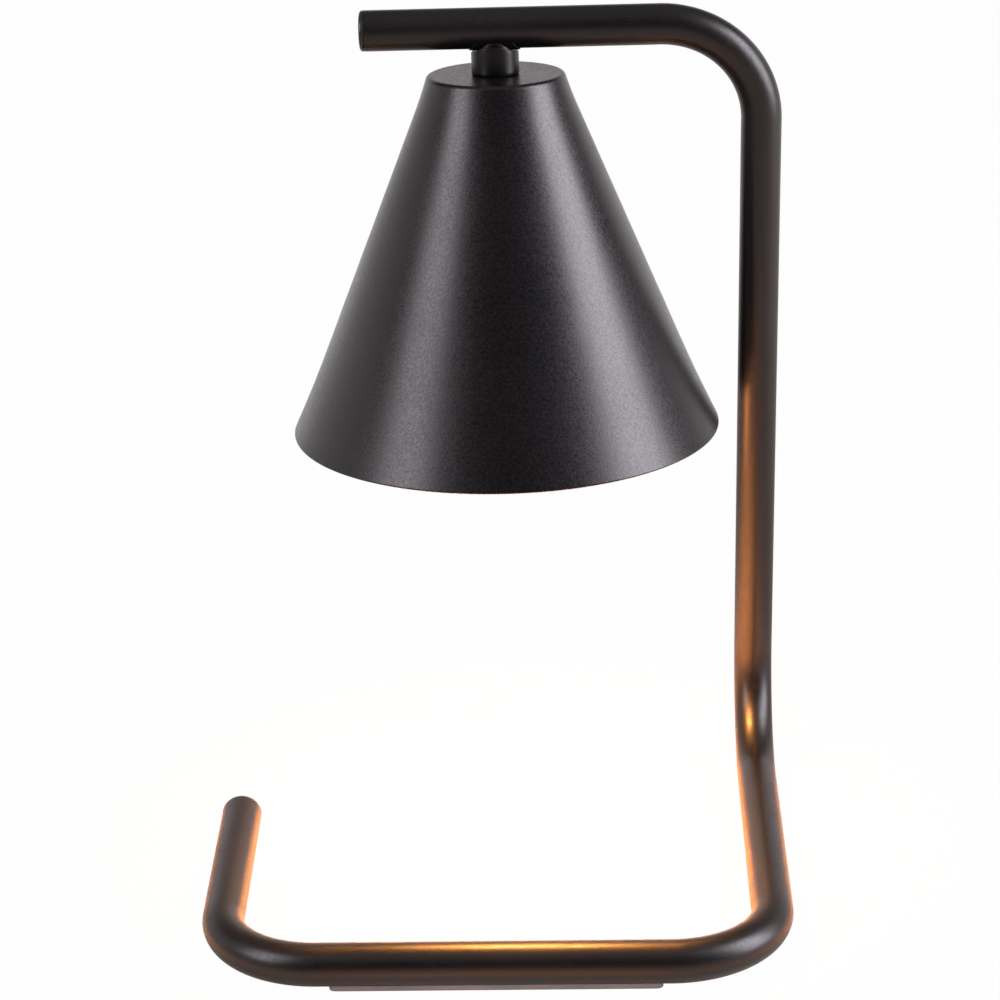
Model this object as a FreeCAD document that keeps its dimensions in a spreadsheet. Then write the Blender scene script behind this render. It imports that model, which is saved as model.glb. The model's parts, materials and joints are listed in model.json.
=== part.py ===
"""Candle warmer lamp: one bent steel tube carries a hanging metal shade over the candle.

Everything is in millimetres, with +Z up and the table at z = 0. The lamp is laid out from the
middle of its front rail (x to the right, y to the back) and then centred over the origin.
Its sizes stand once in the sheet below, and each piece takes its own from there.
"""
import FreeCAD, Part
import math
import os
import re
import Sketcher

Vector = FreeCAD.Vector
UP = Vector(0, 0, 1)

# The driving sizes, in millimetres and degrees: name, value, what it measures.
SIZES = [
    ("tube_diameter", 12.7, "outside diameter of the frame tube"),
    ("tube_wall", 1.5, "wall of the frame tube"),
    ("bend_radius", 31, "radius of every bend, at the middle of the tube"),
    ("base_width", 165, "between the axes of the two legs at the front rail"),
    ("leg_length", 101.5, "free leg, from the rail's axis to the face of its bush"),
    ("leg_splay", 2.6, "how far the free leg opens outward, in degrees"),
    ("post_setback", 161.5, "from the rail's axis back to the foot of the post"),
    ("post_lean_out", 0.65, "sideways lean of the post, in degrees"),
    ("post_lean_forward", 8.9, "lean of the post over the base, in degrees"),
    ("arm_height", 261.45, "axis of the arm over the table"),
    ("arm_length", 124, "from the post's axis to the face of the arm's cap"),
    ("shade_offset", 82.5, "from the post's axis to the axis of the shade"),
    ("foot_thickness", 0.8, "rubber left under the tube"),
    ("foot_width", 7, "width of the foot strips"),
    ("rail_strip_length", 98, "foot strip under the front rail"),
    ("leg_pad_length", 30, "foot pad under each leg"),
    ("leg_pad_inset", 3, "from the end of a leg's straight run to its pad"),
    ("fit_clearance", 0.05, "radial clearance of pieces that sit in each other"),
    ("cap_flange", 1.5, "head of the arm's end cap"),
    ("cap_round", 0.9, "rounding of the heads of cap and bush"),
    ("cap_stem", 10, "length of the cap's stem in the tube"),
    ("bush_flange", 1.5, "head of the cord bush"),
    ("bush_stem", 12, "length of the bush's stem in the tube"),
    ("cord_bore", 6.4, "bore of the bush, for a round mains cord"),
    ("neck_gap", 7.9, "from the arm's underside down to the shade"),
    ("neck_diameter", 14.8, "outside of the neck"),
    ("neck_rise", 2.6, "how high the neck's collar reaches beside the arm"),
    ("collar_diameter", 11.5, "raised collar of the neck, which the arm lies in"),
    ("brow_gap", 0.93, "from the arm's underside down to the neck's brow beside the collar"),
    ("brow_curve", 11.7, "radius of that brow, seen along the arm"),
    ("neck_chamfer", 0.4, "chamfer at the neck's foot"),
    ("gasket_thickness", 0.4, "saddle gasket between arm and neck"),
    ("gasket_diameter", 15.8, "length of the saddle gasket along the arm"),
    ("nipple_diameter", 8, "hollow threaded nipple"),
    ("nipple_bore", 5.4, "wire way through the nipple"),
    ("nipple_entry", 2.5, "how far the nipple stands into the arm"),
    ("nipple_tail", 1, "nipple left below the lock nut"),
    ("nipple_chamfer", 0.5, "chamfer at both ends of the nipple"),
    ("shade_top_diameter", 42.8, "shade across its flat top, before rounding"),
    ("shade_bottom_diameter", 136.2, "shade across its rim"),
    ("shade_height", 114, "shade from its top to its rim"),
    ("shade_wall", 0.8, "spun aluminium sheet"),
    ("crown_flare", 0.6, "how far the shade's crown stands out of its straight cone"),
    ("crown_height", 11, "from the shade's top down to where the straight cone starts"),
    ("mouth_flare", 0.9, "how far the shade's rim stands out of its straight cone"),
    ("mouth_height", 26, "from the shade's rim up to where the straight cone ends"),
    ("shoulder_radius", 1.8, "rounding between the shade's top and side"),
    ("hem_height", 2, "hem turned inside the rim"),
    ("hem_thickness", 2.2, "shade's thickness at the hem"),
    ("washer_diameter", 15, "toothed washer under the shade's top"),
    ("washer_thickness", 0.6, "toothed washer"),
    ("tooth_depth", 1.6, "slots between the washer's teeth"),
    ("tooth_gap", 1.2, "width of those slots"),
    ("tooth_count", 10, "number of those slots"),
    ("strap_span", 30, "hanger strap across its two legs"),
    ("strap_width", 12, "width of the strap"),
    ("strap_height", 16.5, "strap from its top face to the holder"),
    ("strap_thickness", 1, "sheet of the strap"),
    ("strap_foot", 7.5, "each foot of the strap, turned inward"),
    ("strap_bend", 0.5, "inside radius of the strap's bends"),
    ("tag_diameter", 13, "ring of the earth tag"),
    ("tag_thickness", 0.8, "earth tag"),
    ("tag_reach", 11, "from the nipple's axis to the tag's barrel"),
    ("tag_barrel", 5, "height of the barrel"),
    ("tag_barrel_wall", 0.6, "wall of the barrel"),
    ("nut_flats", 12, "lock nut across its flats"),
    ("nut_thickness", 4, "lock nut"),
    ("holder_diameter", 30, "ceramic lampholder"),
    ("holder_cap_height", 6, "upper half of the lampholder"),
    ("holder_body_height", 14, "lower half, with the keyholes"),
    ("holder_chamfer", 0.8, "chamfer of the lampholder's outer edges"),
    ("keyhole_plate", 2.4, "floor of the lampholder, which the pins lock behind"),
    ("chamber_radius", 8.4, "contact chambers"),
    ("chamber_barrier", 2.4, "ceramic wall between the two chambers"),
    ("screw_pitch", 22, "between the two holder screws"),
    ("screw_diameter", 3, "holder screws"),
    ("screw_head_diameter", 4.8, "heads of the holder screws"),
    ("screw_head_height", 2, "heads of the holder screws"),
    ("screw_length", 10, "holder screws under their heads"),
    ("screw_slot", 0.8, "width and depth of the driver slot"),
    ("contact_sheet", 0.5, "bronze of the contacts"),
    ("contact_width", 4.4, "width of the contacts"),
    ("contact_inner", 2.7, "from the holder's axis to the inner end of a contact"),
    ("contact_outer", 7.6, "from the holder's axis to the back of a contact"),
    ("lead_hole_pitch", 9.2, "between the two lead holes of the lampholder"),
    ("lead_diameter", 1.6, "insulated leads"),
    ("lead_spacing", 1, "half of the step between neighbouring leads in the tube"),
    ("bore_spacing", 1, "sideways place of the outer leads in the nipple"),
    ("nipple_turn", 3, "radius of the leads' turn into the nipple"),
    ("lead_turn", 4, "radius of the leads' turns below the nipple"),
    ("pin_pitch", 10, "between the bulb's two pins"),
    ("pin_diameter", 3, "shank of a pin"),
    ("pin_head_diameter", 5, "head of a pin"),
    ("pin_head_height", 3, "head of a pin"),
    ("pin_root", 4.5, "pin inside the bulb's base"),
    ("pin_chamfer", 0.6, "chamfer of a pin's head"),
    ("running_gap", 0.3, "clearance between the bulb and the lampholder"),
    ("slot_clearance", 0.2, "clearance each side of a pin's shank in its slot"),
    ("twist_angle", 30, "turn that unlocks the bulb, in degrees"),
    ("bulb_diameter", 50, "front of the bulb"),
    ("bulb_length", 46.5, "bulb without its pins"),
    ("base_top_diameter", 25, "bulb's ceramic base at the top"),
    ("base_bottom_diameter", 26.8, "bulb's ceramic base at the glass"),
    ("base_height", 16, "bulb's ceramic base"),
    ("base_chamfer", 1, "chamfer of the base's top edge"),
    ("base_cavity_diameter", 19, "hollow of the base"),
    ("base_cavity_depth", 9, "hollow of the base"),
    ("glass_wall", 1.4, "wall of the reflector"),
    ("glass_curve", 48, "radius of the reflector's outer curve"),
    ("rim_band", 3.5, "straight band at the reflector's rim"),
    ("lens_thickness", 2, "front glass"),
    ("lens_ledge", 1, "ledge that the front glass sits on"),
    ("lens_dome", 400, "radius of the front glass's outer face"),
    ("capsule_diameter", 9.6, "quartz capsule"),
    ("capsule_wall", 0.8, "quartz capsule"),
    ("capsule_length", 27, "quartz capsule"),
    ("filament_diameter", 0.7, "filament and its posts"),
    ("filament_span", 4, "between the filament's posts"),
    ("filament_depth", 19, "posts from the base down to the filament"),
    ("filament_turn", 1, "radius between post and filament"),
]

doc = FreeCAD.newDocument("candle_warmer_lamp")
sheet = doc.addObject("Spreadsheet::Sheet", "sizes")
for row, (name, value, meaning) in enumerate(SIZES, start=1):
    sheet.set(f"A{row}", meaning)
    sheet.set(f"B{row}", str(value))
    sheet.setAlias(f"B{row}", name)
doc.recompute()
NAMES = {name for name, value, meaning in SIZES}


def bound(formula):
    """Write a formula in the sheet's own words, ready for setExpression."""
    return re.sub(r"[a-z][a-z_]*", lambda word: f"sizes.{word[0]}" if word[0] in NAMES else word[0],
                  formula)


def size(formula):
    """Value of a formula in the sheet's words."""
    return float(sheet.evalExpression(bound(formula)))


# Levels below the shade's top face, and radii, that several pieces share.
TUBE_RADIUS = "tube_diameter / 2"
BORE_RADIUS = "(tube_diameter / 2 - tube_wall)"
NIPPLE_HOLE = "(nipple_diameter / 2 + fit_clearance)"
SCREW_HOLE = "(screw_diameter / 2 + fit_clearance)"
STRAP_TOP = "(0 - shade_wall - washer_thickness)"
TAG_TOP = f"({STRAP_TOP} - strap_thickness)"
NUT_TOP = f"({TAG_TOP} - tag_thickness)"
NIPPLE_END = f"({NUT_TOP} - nut_thickness - nipple_tail)"
HOLDER_TOP = f"({STRAP_TOP} - strap_height)"
HOLDER_MIDDLE = f"({HOLDER_TOP} - holder_cap_height)"
HOLDER_BOTTOM = f"({HOLDER_MIDDLE} - holder_body_height)"
BULB_TOP = f"({HOLDER_BOTTOM} - running_gap)"
CHAMBER_DEPTH = "(holder_body_height - keyhole_plate)"
CONE_TOP = "(shade_top_diameter / 2 - crown_flare)"
CONE_RIM = "(shade_bottom_diameter / 2 - mouth_flare)"
SHADE_SLOPE = f"(({CONE_RIM} - {CONE_TOP}) / shade_height)"
SHADE_SLANT = f"sqrt(1 + {SHADE_SLOPE}^2)"
SHADE_SIDE = f"(shade_wall * {SHADE_SLANT})"


# --- helpers for bodies, sketches and features

def new_body(name):
    """A PartDesign body whose label names its file."""
    body = doc.addObject("PartDesign::Body", name)
    body.Label = name
    return body


def new_sketch(body, name, role, height=None):
    """A sketch on one of the body's own origin planes, raised by a formula if one is given."""
    sketch = body.newObject("Sketcher::SketchObject", name)
    plane = [feature for feature in body.Origin.OriginFeatures if feature.Role == role][0]
    sketch.AttachmentSupport = [(plane, "")]
    sketch.MapMode = "FlatFace"
    if height:
        sketch.setExpression("AttachmentOffset.Base.z", bound(height))
    return sketch


def tie(sketch, geometry, end, formulas):
    """Hold a point at two formulas; a formula of 0 puts it on the sketch's axis."""
    for kind, axis, formula in (("DistanceX", -2, formulas[0]), ("DistanceY", -1, formulas[1])):
        if formula == "0":
            sketch.addConstraint(Sketcher.Constraint("PointOnObject", geometry, end, axis))
        else:
            index = sketch.addConstraint(Sketcher.Constraint(kind, geometry, end, size(formula)))
            sketch.setExpression(f"Constraints[{index}]", bound(formula))


def trace(sketch, corners):
    """Closed outline through the corners, each (x, y) or (x, y, radius).

    A radius makes the edge that arrives at the corner an arc. A positive one has its centre on
    the left of the way from corner to corner, a negative one on the right.
    """
    points = [Vector(size(corner[0]), size(corner[1]), 0) for corner in corners]
    starts = []
    for index, corner in enumerate(corners):
        start = points[index - 1]
        end = points[index]
        if len(corner) == 2:
            sketch.addGeometry(Part.LineSegment(start, end), False)
            starts.append((1, 2))
            continue
        radius = size(corner[2])
        chord = end - start
        middle = (start + end) * 0.5
        left = Vector(-chord.y, chord.x, 0).normalize() * math.copysign(1, radius)
        centre = middle + left * math.sqrt(radius ** 2 - (chord.Length / 2) ** 2)
        crest = centre + (middle - centre).normalize() * abs(radius)
        geometry = sketch.addGeometry(Part.Arc(start, crest, end), False)
        index_radius = sketch.addConstraint(Sketcher.Constraint("Radius", geometry, abs(radius)))
        sketch.setExpression(f"Constraints[{index_radius}]", bound(f"abs({corner[2]})"))
        starts.append((1, 2) if radius > 0 else (2, 1))
    for index, corner in enumerate(corners):
        following = (index + 1) % len(corners)
        sketch.addConstraint(Sketcher.Constraint(
            "Coincident", index, starts[index][1], following, starts[following][0]))
        tie(sketch, index, starts[index][1], corner)


def ring(sketch, x, y, radius):
    """A circle whose centre and radius are formulas."""
    geometry = sketch.addGeometry(
        Part.Circle(Vector(size(x), size(y), 0), UP, size(radius)), False)
    tie(sketch, geometry, 3, (x, y))
    index = sketch.addConstraint(Sketcher.Constraint("Radius", geometry, size(radius)))
    sketch.setExpression(f"Constraints[{index}]", bound(radius))


def revolved(body, name, corners):
    """Turn an outline of radius and height about the body's Z axis."""
    sketch = new_sketch(body, f"{name}_outline", "XZ_Plane")
    trace(sketch, corners)
    feature = body.newObject("PartDesign::Revolution", name)
    feature.Profile = sketch
    feature.ReferenceAxis = (sketch, ["V_Axis"])
    feature.Angle = 360
    doc.recompute()
    return feature


def grooved(body, name, corners, angle=None, reverse=False):
    """Turn an outline about the Z axis and take it away; angle is a formula, or all the way."""
    before = body.Shape.Volume
    sketch = new_sketch(body, f"{name}_outline", "XZ_Plane")
    trace(sketch, corners)
    feature = body.newObject("PartDesign::Groove", name)
    feature.Profile = sketch
    feature.ReferenceAxis = (sketch, ["V_Axis"])
    feature.Angle = 360
    feature.Reversed = reverse
    if angle:
        feature.setExpression("Angle", bound(angle))
    doc.recompute()
    check_cut(feature, before)
    return feature


def padded(body, name, sketch, length, midplane=False, reverse=False):
    """Pad a sketch by a formula, upward unless it is reversed or goes both ways."""
    feature = body.newObject("PartDesign::Pad", name)
    feature.Profile = sketch
    feature.setExpression("Length", bound(length))
    feature.Midplane = midplane
    feature.Reversed = reverse
    doc.recompute()
    return feature


def pocketed(body, name, sketch, length=None, reverse=False):
    """Cut a sketch out of the body by a formula, or right through both ways."""
    before = body.Shape.Volume
    feature = body.newObject("PartDesign::Pocket", name)
    feature.Profile = sketch
    feature.Reversed = reverse
    if length:
        feature.setExpression("Length", bound(length))
    else:
        feature.Type = "ThroughAll"
        feature.Midplane = True
    doc.recompute()
    check_cut(feature, before)
    return feature


def check_cut(feature, before):
    """A cut that points away from the solid takes nothing off, which is an error here."""
    if not feature.Shape.Volume < before - 1e-6:
        raise RuntimeError(f"{feature.Name} cuts nothing")


def repeated(body, name, features, count):
    """Repeat features around the body's Z axis."""
    pattern = body.newObject("PartDesign::PolarPattern", name)
    pattern.Originals = features
    axis = [feature for feature in body.Origin.OriginFeatures if feature.Role == "Z_Axis"][0]
    pattern.Axis = (axis, [""])
    pattern.Angle = 360
    pattern.setExpression("Occurrences", bound(count))
    body.Tip = pattern
    doc.recompute()
    return pattern


def rounded(body, name, kind, radius, chosen):
    """Fillet or chamfer the edges that a test chooses."""
    base = body.Tip
    edges = [f"Edge{index}" for index, edge in enumerate(base.Shape.Edges, start=1) if chosen(edge)]
    feature = body.newObject(f"PartDesign::{kind}", name)
    feature.Base = (base, edges)
    feature.setExpression("Radius" if kind == "Fillet" else "Size", bound(radius))
    doc.recompute()
    return feature


def is_circle(edge, radius, height):
    """Whether an edge is the full circle of this radius about Z at this height."""
    curve = edge.Curve
    if not isinstance(curve, Part.Circle) or not edge.Closed:
        return False
    return abs(curve.Radius - size(radius)) < 1e-4 and abs(curve.Center.z - size(height)) < 1e-4


def cylinder(name, radius, height, position, axis=UP):
    """A Part cylinder whose sizes are formulas."""
    solid = doc.addObject("Part::Cylinder", name)
    solid.setExpression("Radius", bound(radius))
    solid.setExpression("Height", bound(height))
    solid.Placement = FreeCAD.Placement(position, FreeCAD.Rotation(UP, axis))
    return solid


def joined(name, *solids):
    """Fuse Part objects into one solid."""
    fusion = doc.addObject("Part::MultiFuse", name)
    fusion.Shapes = list(solids)
    return fusion


def cut(name, base, tool):
    """Take one Part object out of another."""
    difference = doc.addObject("Part::Cut", name)
    difference.Base = base
    difference.Tool = tool
    return difference


def both_sides(name, solid):
    """A solid and its mirror image across the YZ plane, as two solids of one piece."""
    mirror = doc.addObject("Part::Mirroring", f"{name}_mirror")
    mirror.Source = solid
    mirror.Normal = (1, 0, 0)
    pair = doc.addObject("Part::Compound", name)
    pair.Links = [solid, mirror]
    pair.Label = name
    return pair


# --- bent wires: the frame tube and the leads

def bent_wire(points, radii):
    """Straight runs through the points, joined by tangent arcs of the given radii."""
    edges = []
    run_start = points[0]
    for index, radius in enumerate(radii, start=1):
        corner = points[index]
        back = (points[index - 1] - corner).normalize()
        ahead = (points[index + 1] - corner).normalize()
        half_angle = back.getAngle(ahead) / 2
        reach = radius / math.tan(half_angle)
        centre = corner + (back + ahead).normalize() * (radius / math.sin(half_angle))
        arc_start = corner + back * reach
        arc_end = corner + ahead * reach
        arc_middle = centre + (corner - centre).normalize() * radius
        edges.append(Part.LineSegment(run_start, arc_start).toShape())
        edges.append(Part.Arc(arc_start, arc_middle, arc_end).toShape())
        run_start = arc_end
    edges.append(Part.LineSegment(run_start, points[-1]).toShape())
    return Part.Wire(edges)


def swept(name, points, radii, radius):
    """A round bar of the given radius formula along a bent wire."""
    spine = doc.addObject("Part::Feature", f"{name}_spine")
    spine.Shape = bent_wire(points, radii)
    section = doc.addObject("Part::Circle", f"{name}_section")
    section.setExpression("Radius", bound(radius))
    section.Placement = FreeCAD.Placement(
        points[0], FreeCAD.Rotation(UP, (points[1] - points[0]).normalize()))
    sweep = doc.addObject("Part::Sweep", name)
    sweep.Sections = [section]
    sweep.Spine = (spine, [f"Edge{index + 1}" for index in range(len(spine.Shape.Edges))])
    sweep.Solid = True
    sweep.Frenet = False
    doc.recompute()
    bends = ", ".join(f"{bend:g}" for bend in radii)
    print(f"{name}: {spine.Shape.Length:.1f} mm long, bends of {bends} mm")
    return sweep


# Corners of the frame's centre line, from the free leg round to the arm.
rail_height = size(f"foot_thickness + {TUBE_RADIUS}")
rise = size("arm_height") - rail_height
splay = math.radians(size("leg_splay"))
leg_direction = Vector(-math.sin(splay), math.cos(splay), 0)
left_corner = Vector(-size("base_width / 2"), 0, rail_height)
right_corner = Vector(size("base_width / 2"), 0, rail_height)
post_foot = right_corner + Vector(0, size("post_setback"), 0)
post_lean = Vector(math.tan(math.radians(size("post_lean_out"))),
                   -math.tan(math.radians(size("post_lean_forward"))), 1)
post_top = post_foot + post_lean * rise
arm_direction = Vector(-1, 0, 0)
leg_face = left_corner + leg_direction * size("leg_length")
arm_face = post_top + arm_direction * size("arm_length")
leg_tube_end = leg_face - leg_direction * size("bush_flange")
arm_tube_end = arm_face - arm_direction * size("cap_flange")
FRAME_BENDS = 4
lamp_top = Vector(post_top.x - size("shade_offset"), post_top.y,
                  size(f"arm_height - {TUBE_RADIUS} - neck_gap"))


def at_lamp(formula):
    """A place on the shade's axis, at a level below the shade's top."""
    return lamp_top + Vector(0, 0, size(formula))


def make_frame_tube():
    """The bent tube, with the hole in the arm's underside that the nipple stands in."""
    corners = [leg_tube_end, left_corner, right_corner, post_foot, post_top, arm_tube_end]
    radii = [size("bend_radius")] * FRAME_BENDS
    outside = swept("tube_outside", corners, radii, TUBE_RADIUS)
    inside = swept("tube_inside", corners, radii, BORE_RADIUS)
    hollow = cut("hollow_tube", outside, inside)
    hole = cylinder("nipple_hole", NIPPLE_HOLE, TUBE_RADIUS,
                    lamp_top + Vector(0, 0, size("neck_gap")))
    tube = cut("frame_tube", hollow, hole)
    tube.Label = "frame_tube"
    return tube


def make_arm_end_cap():
    """Plug in the arm's free end: a round head and a stem that grips the bore."""
    body = new_body("arm_end_cap")
    stem = f"({BORE_RADIUS} - fit_clearance)"
    revolved(body, "cap_plug", [
        ("0", "cap_flange"),
        ("0", "0 - cap_stem"),
        (f"{stem} - cap_round", "0 - cap_stem"),
        (stem, "cap_round - cap_stem"),
        (stem, "0"),
        (TUBE_RADIUS, "0"),
        (TUBE_RADIUS, "cap_flange - cap_round"),
        (f"{TUBE_RADIUS} - cap_round", "cap_flange", "cap_round"),
    ])
    body.Placement = FreeCAD.Placement(arm_tube_end, FreeCAD.Rotation(UP, arm_direction))
    return body


def make_cord_bush():
    """Bush in the free leg's end, with the bore that a mains cord enters by."""
    body = new_body("cord_bush")
    stem = f"({BORE_RADIUS} - fit_clearance)"
    revolved(body, "bush_plug", [
        ("cord_bore / 2", "0 - bush_stem"),
        (f"{stem} - cap_round", "0 - bush_stem"),
        (stem, "cap_round - bush_stem"),
        (stem, "0"),
        (TUBE_RADIUS, "0"),
        (TUBE_RADIUS, "bush_flange - cap_round"),
        (f"{TUBE_RADIUS} - cap_round", "bush_flange", "cap_round"),
        ("cord_bore / 2", "bush_flange"),
    ])
    body.Placement = FreeCAD.Placement(leg_tube_end, FreeCAD.Rotation(UP, leg_direction))
    return body


def make_foot(name, length, middle, direction):
    """Rubber strip under the tube: flat below, hollowed above to the tube's round."""
    body = new_body(name)
    sketch = new_sketch(body, f"{name}_section", "XZ_Plane")
    seat = f"(foot_thickness + {TUBE_RADIUS} - sqrt(({TUBE_RADIUS})^2 - (foot_width / 2)^2))"
    trace(sketch, [
        ("0 - foot_width / 2", "0"),
        ("foot_width / 2", "0"),
        ("foot_width / 2", seat),
        ("0 - foot_width / 2", seat, f"0 - {TUBE_RADIUS}"),
    ])
    padded(body, f"{name}_strip", sketch, length, midplane=True)
    place = Vector(middle.x, middle.y, 0)
    body.Placement = FreeCAD.Placement(place, FreeCAD.Rotation(Vector(0, 1, 0), direction))
    return body


def make_feet():
    """One strip under the front rail and a pad at the end of each leg's straight run."""
    rail_middle = (left_corner + right_corner) * 0.5
    from_end = size("leg_pad_inset + leg_pad_length / 2")
    left_middle = leg_tube_end - leg_direction * from_end
    backward = Vector(0, 1, 0)
    bend_reach = size("bend_radius") * math.tan(backward.getAngle(post_lean) / 2)
    right_middle = post_foot - backward * (bend_reach + from_end)
    return [
        make_foot("rail_foot_strip", "rail_strip_length", rail_middle, Vector(1, 0, 0)),
        make_foot("left_leg_pad", "leg_pad_length", left_middle, leg_direction),
        make_foot("right_leg_pad", "leg_pad_length", right_middle, backward),
    ]


ARM_LEVEL = f"(neck_gap + {TUBE_RADIUS})"
COLLAR_TOP = "(neck_gap + neck_rise)"


def make_neck():
    """Neck between arm and shade: a collar coped to the arm stands on a saddle-shaped brow."""
    body = new_body("neck_spacer")
    revolved(body, "neck_blank", [
        (NIPPLE_HOLE, "0"),
        ("neck_diameter / 2 - neck_chamfer", "0"),
        ("neck_diameter / 2", "neck_chamfer"),
        ("neck_diameter / 2", COLLAR_TOP),
        (NIPPLE_HOLE, COLLAR_TOP),
    ])
    brow = new_sketch(body, "brow_circle", "YZ_Plane")
    ring(brow, "0", "neck_gap - brow_gap + brow_curve", "brow_curve")
    pocketed(body, "brow", brow)
    collar = new_sketch(body, "collar_rings", "XY_Plane", "neck_chamfer")
    ring(collar, "0", "0", "collar_diameter / 2")
    ring(collar, "0", "0", NIPPLE_HOLE)
    padded(body, "collar", collar, f"{COLLAR_TOP} - neck_chamfer")
    cope = new_sketch(body, "cope_circle", "YZ_Plane")
    ring(cope, "0", ARM_LEVEL, f"{TUBE_RADIUS} + gasket_thickness")
    pocketed(body, "cope", cope)
    body.Placement.Base = lamp_top
    return body


def make_gasket():
    """Thin saddle gasket that follows the arm's underside over the neck."""
    body = new_body("saddle_gasket")
    drop = f"({TUBE_RADIUS} - neck_rise)"
    inner = f"sqrt(({TUBE_RADIUS})^2 - {drop}^2)"
    outer = f"sqrt(({TUBE_RADIUS} + gasket_thickness)^2 - {drop}^2)"
    section = new_sketch(body, "saddle_section", "YZ_Plane")
    trace(section, [
        (f"0 - {outer}", COLLAR_TOP),
        (outer, COLLAR_TOP, f"{TUBE_RADIUS} + gasket_thickness"),
        (inner, COLLAR_TOP),
        (f"0 - {inner}", COLLAR_TOP, f"0 - {TUBE_RADIUS}"),
    ])
    padded(body, "saddle_sheet", section, "gasket_diameter + 2 * gasket_thickness", midplane=True)
    trim = new_sketch(body, "saddle_trim", "XY_Plane")
    ring(trim, "0", "0", "gasket_diameter / 2")
    ring(trim, "0", "0", "gasket_diameter")
    pocketed(body, "saddle_round", trim)
    hole = new_sketch(body, "saddle_hole_circle", "XY_Plane")
    ring(hole, "0", "0", NIPPLE_HOLE)
    pocketed(body, "saddle_hole", hole)
    body.Placement.Base = lamp_top
    return body


def make_nipple():
    """Hollow nipple: brazed in the arm, it carries neck, shade and lampholder."""
    body = new_body("threaded_nipple")
    top = "(neck_gap + nipple_entry)"
    radius = "nipple_diameter / 2"
    revolved(body, "nipple_tube", [
        ("nipple_bore / 2", top),
        ("nipple_bore / 2", NIPPLE_END),
        (f"{radius} - nipple_chamfer", NIPPLE_END),
        (radius, f"{NIPPLE_END} + nipple_chamfer"),
        (radius, f"{top} - nipple_chamfer"),
        (f"{radius} - nipple_chamfer", top),
    ])
    body.Placement.Base = lamp_top
    return body


def make_shade():
    """Spun cone with a flat top, a hem inside its rim, and both ends flared a little outward.

    Each flare is an arc that leaves the straight cone along its own line. It stands out by its
    flare at its far end, so its radius is its chord squared over twice its step off that line.
    """
    body = new_body("shade_shell")
    top = "shade_top_diameter / 2"
    rim = "shade_bottom_diameter / 2"
    hem_top = "(shade_height - hem_height)"
    mouth_top = "(shade_height - mouth_height)"
    cone_start = f"({CONE_TOP} + {SHADE_SLOPE} * crown_height)"
    cone_end = f"({CONE_TOP} + {SHADE_SLOPE} * {mouth_top})"
    crown_chord = f"(crown_height^2 + ({cone_start} - {top})^2)"
    crown_radius = f"({crown_chord} * {SHADE_SLANT} / 2 / crown_flare)"
    mouth_chord = f"(mouth_height^2 + ({rim} - {cone_end})^2)"
    mouth_radius = f"({mouth_chord} * {SHADE_SLANT} / 2 / mouth_flare)"
    crown_share = "((crown_height - shade_wall) / crown_height)"
    mouth_share = "((mouth_height - hem_height) / mouth_height)"
    inner_top = (f"{CONE_TOP} + {SHADE_SLOPE} * shade_wall + crown_flare * {crown_share}^2"
                 f" - {SHADE_SIDE}")
    inner_rim = (f"{CONE_TOP} + {SHADE_SLOPE} * {hem_top} + mouth_flare * {mouth_share}^2"
                 f" - {SHADE_SIDE}")
    revolved(body, "spun_cone", [
        (NIPPLE_HOLE, "0"),
        (NIPPLE_HOLE, "0 - shade_wall"),
        (inner_top, "0 - shade_wall"),
        (f"{cone_start} - {SHADE_SIDE}", "0 - crown_height", f"{crown_radius} + shade_wall"),
        (f"{cone_end} - {SHADE_SIDE}", f"0 - {mouth_top}"),
        (inner_rim, f"0 - {hem_top}", f"{mouth_radius} + shade_wall"),
        (f"{rim} - hem_thickness", f"0 - {hem_top}"),
        (f"{rim} - hem_thickness", "0 - shade_height"),
        (rim, "0 - shade_height"),
        (cone_end, f"0 - {mouth_top}", f"0 - {mouth_radius}"),
        (cone_start, "0 - crown_height"),
        (top, "0", f"0 - {crown_radius}"),
    ])
    rounded(body, "outer_shoulder", "Fillet", "shoulder_radius",
            lambda edge: is_circle(edge, top, "0"))
    rounded(body, "inner_shoulder", "Fillet", "shoulder_radius - shade_wall",
            lambda edge: is_circle(edge, inner_top, "0 - shade_wall"))
    body.Placement.Base = lamp_top
    return body


def make_washer():
    """Toothed washer that grips the shade's top from inside."""
    body = new_body("toothed_washer")
    disc = new_sketch(body, "washer_rings", "XY_Plane")
    ring(disc, "0", "0", "washer_diameter / 2")
    ring(disc, "0", "0", NIPPLE_HOLE)
    padded(body, "washer_disc", disc, "washer_thickness", reverse=True)
    gap = new_sketch(body, "tooth_gap_outline", "XY_Plane")
    trace(gap, [
        ("washer_diameter / 2 - tooth_depth", "0 - tooth_gap / 2"),
        ("washer_diameter / 2 + tooth_depth", "0 - tooth_gap / 2"),
        ("washer_diameter / 2 + tooth_depth", "tooth_gap / 2"),
        ("washer_diameter / 2 - tooth_depth", "tooth_gap / 2"),
    ])
    slot = pocketed(body, "tooth_slot", gap)
    repeated(body, "teeth", [slot], "tooth_count")
    body.Placement.Base = at_lamp("0 - shade_wall")
    return body


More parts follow.
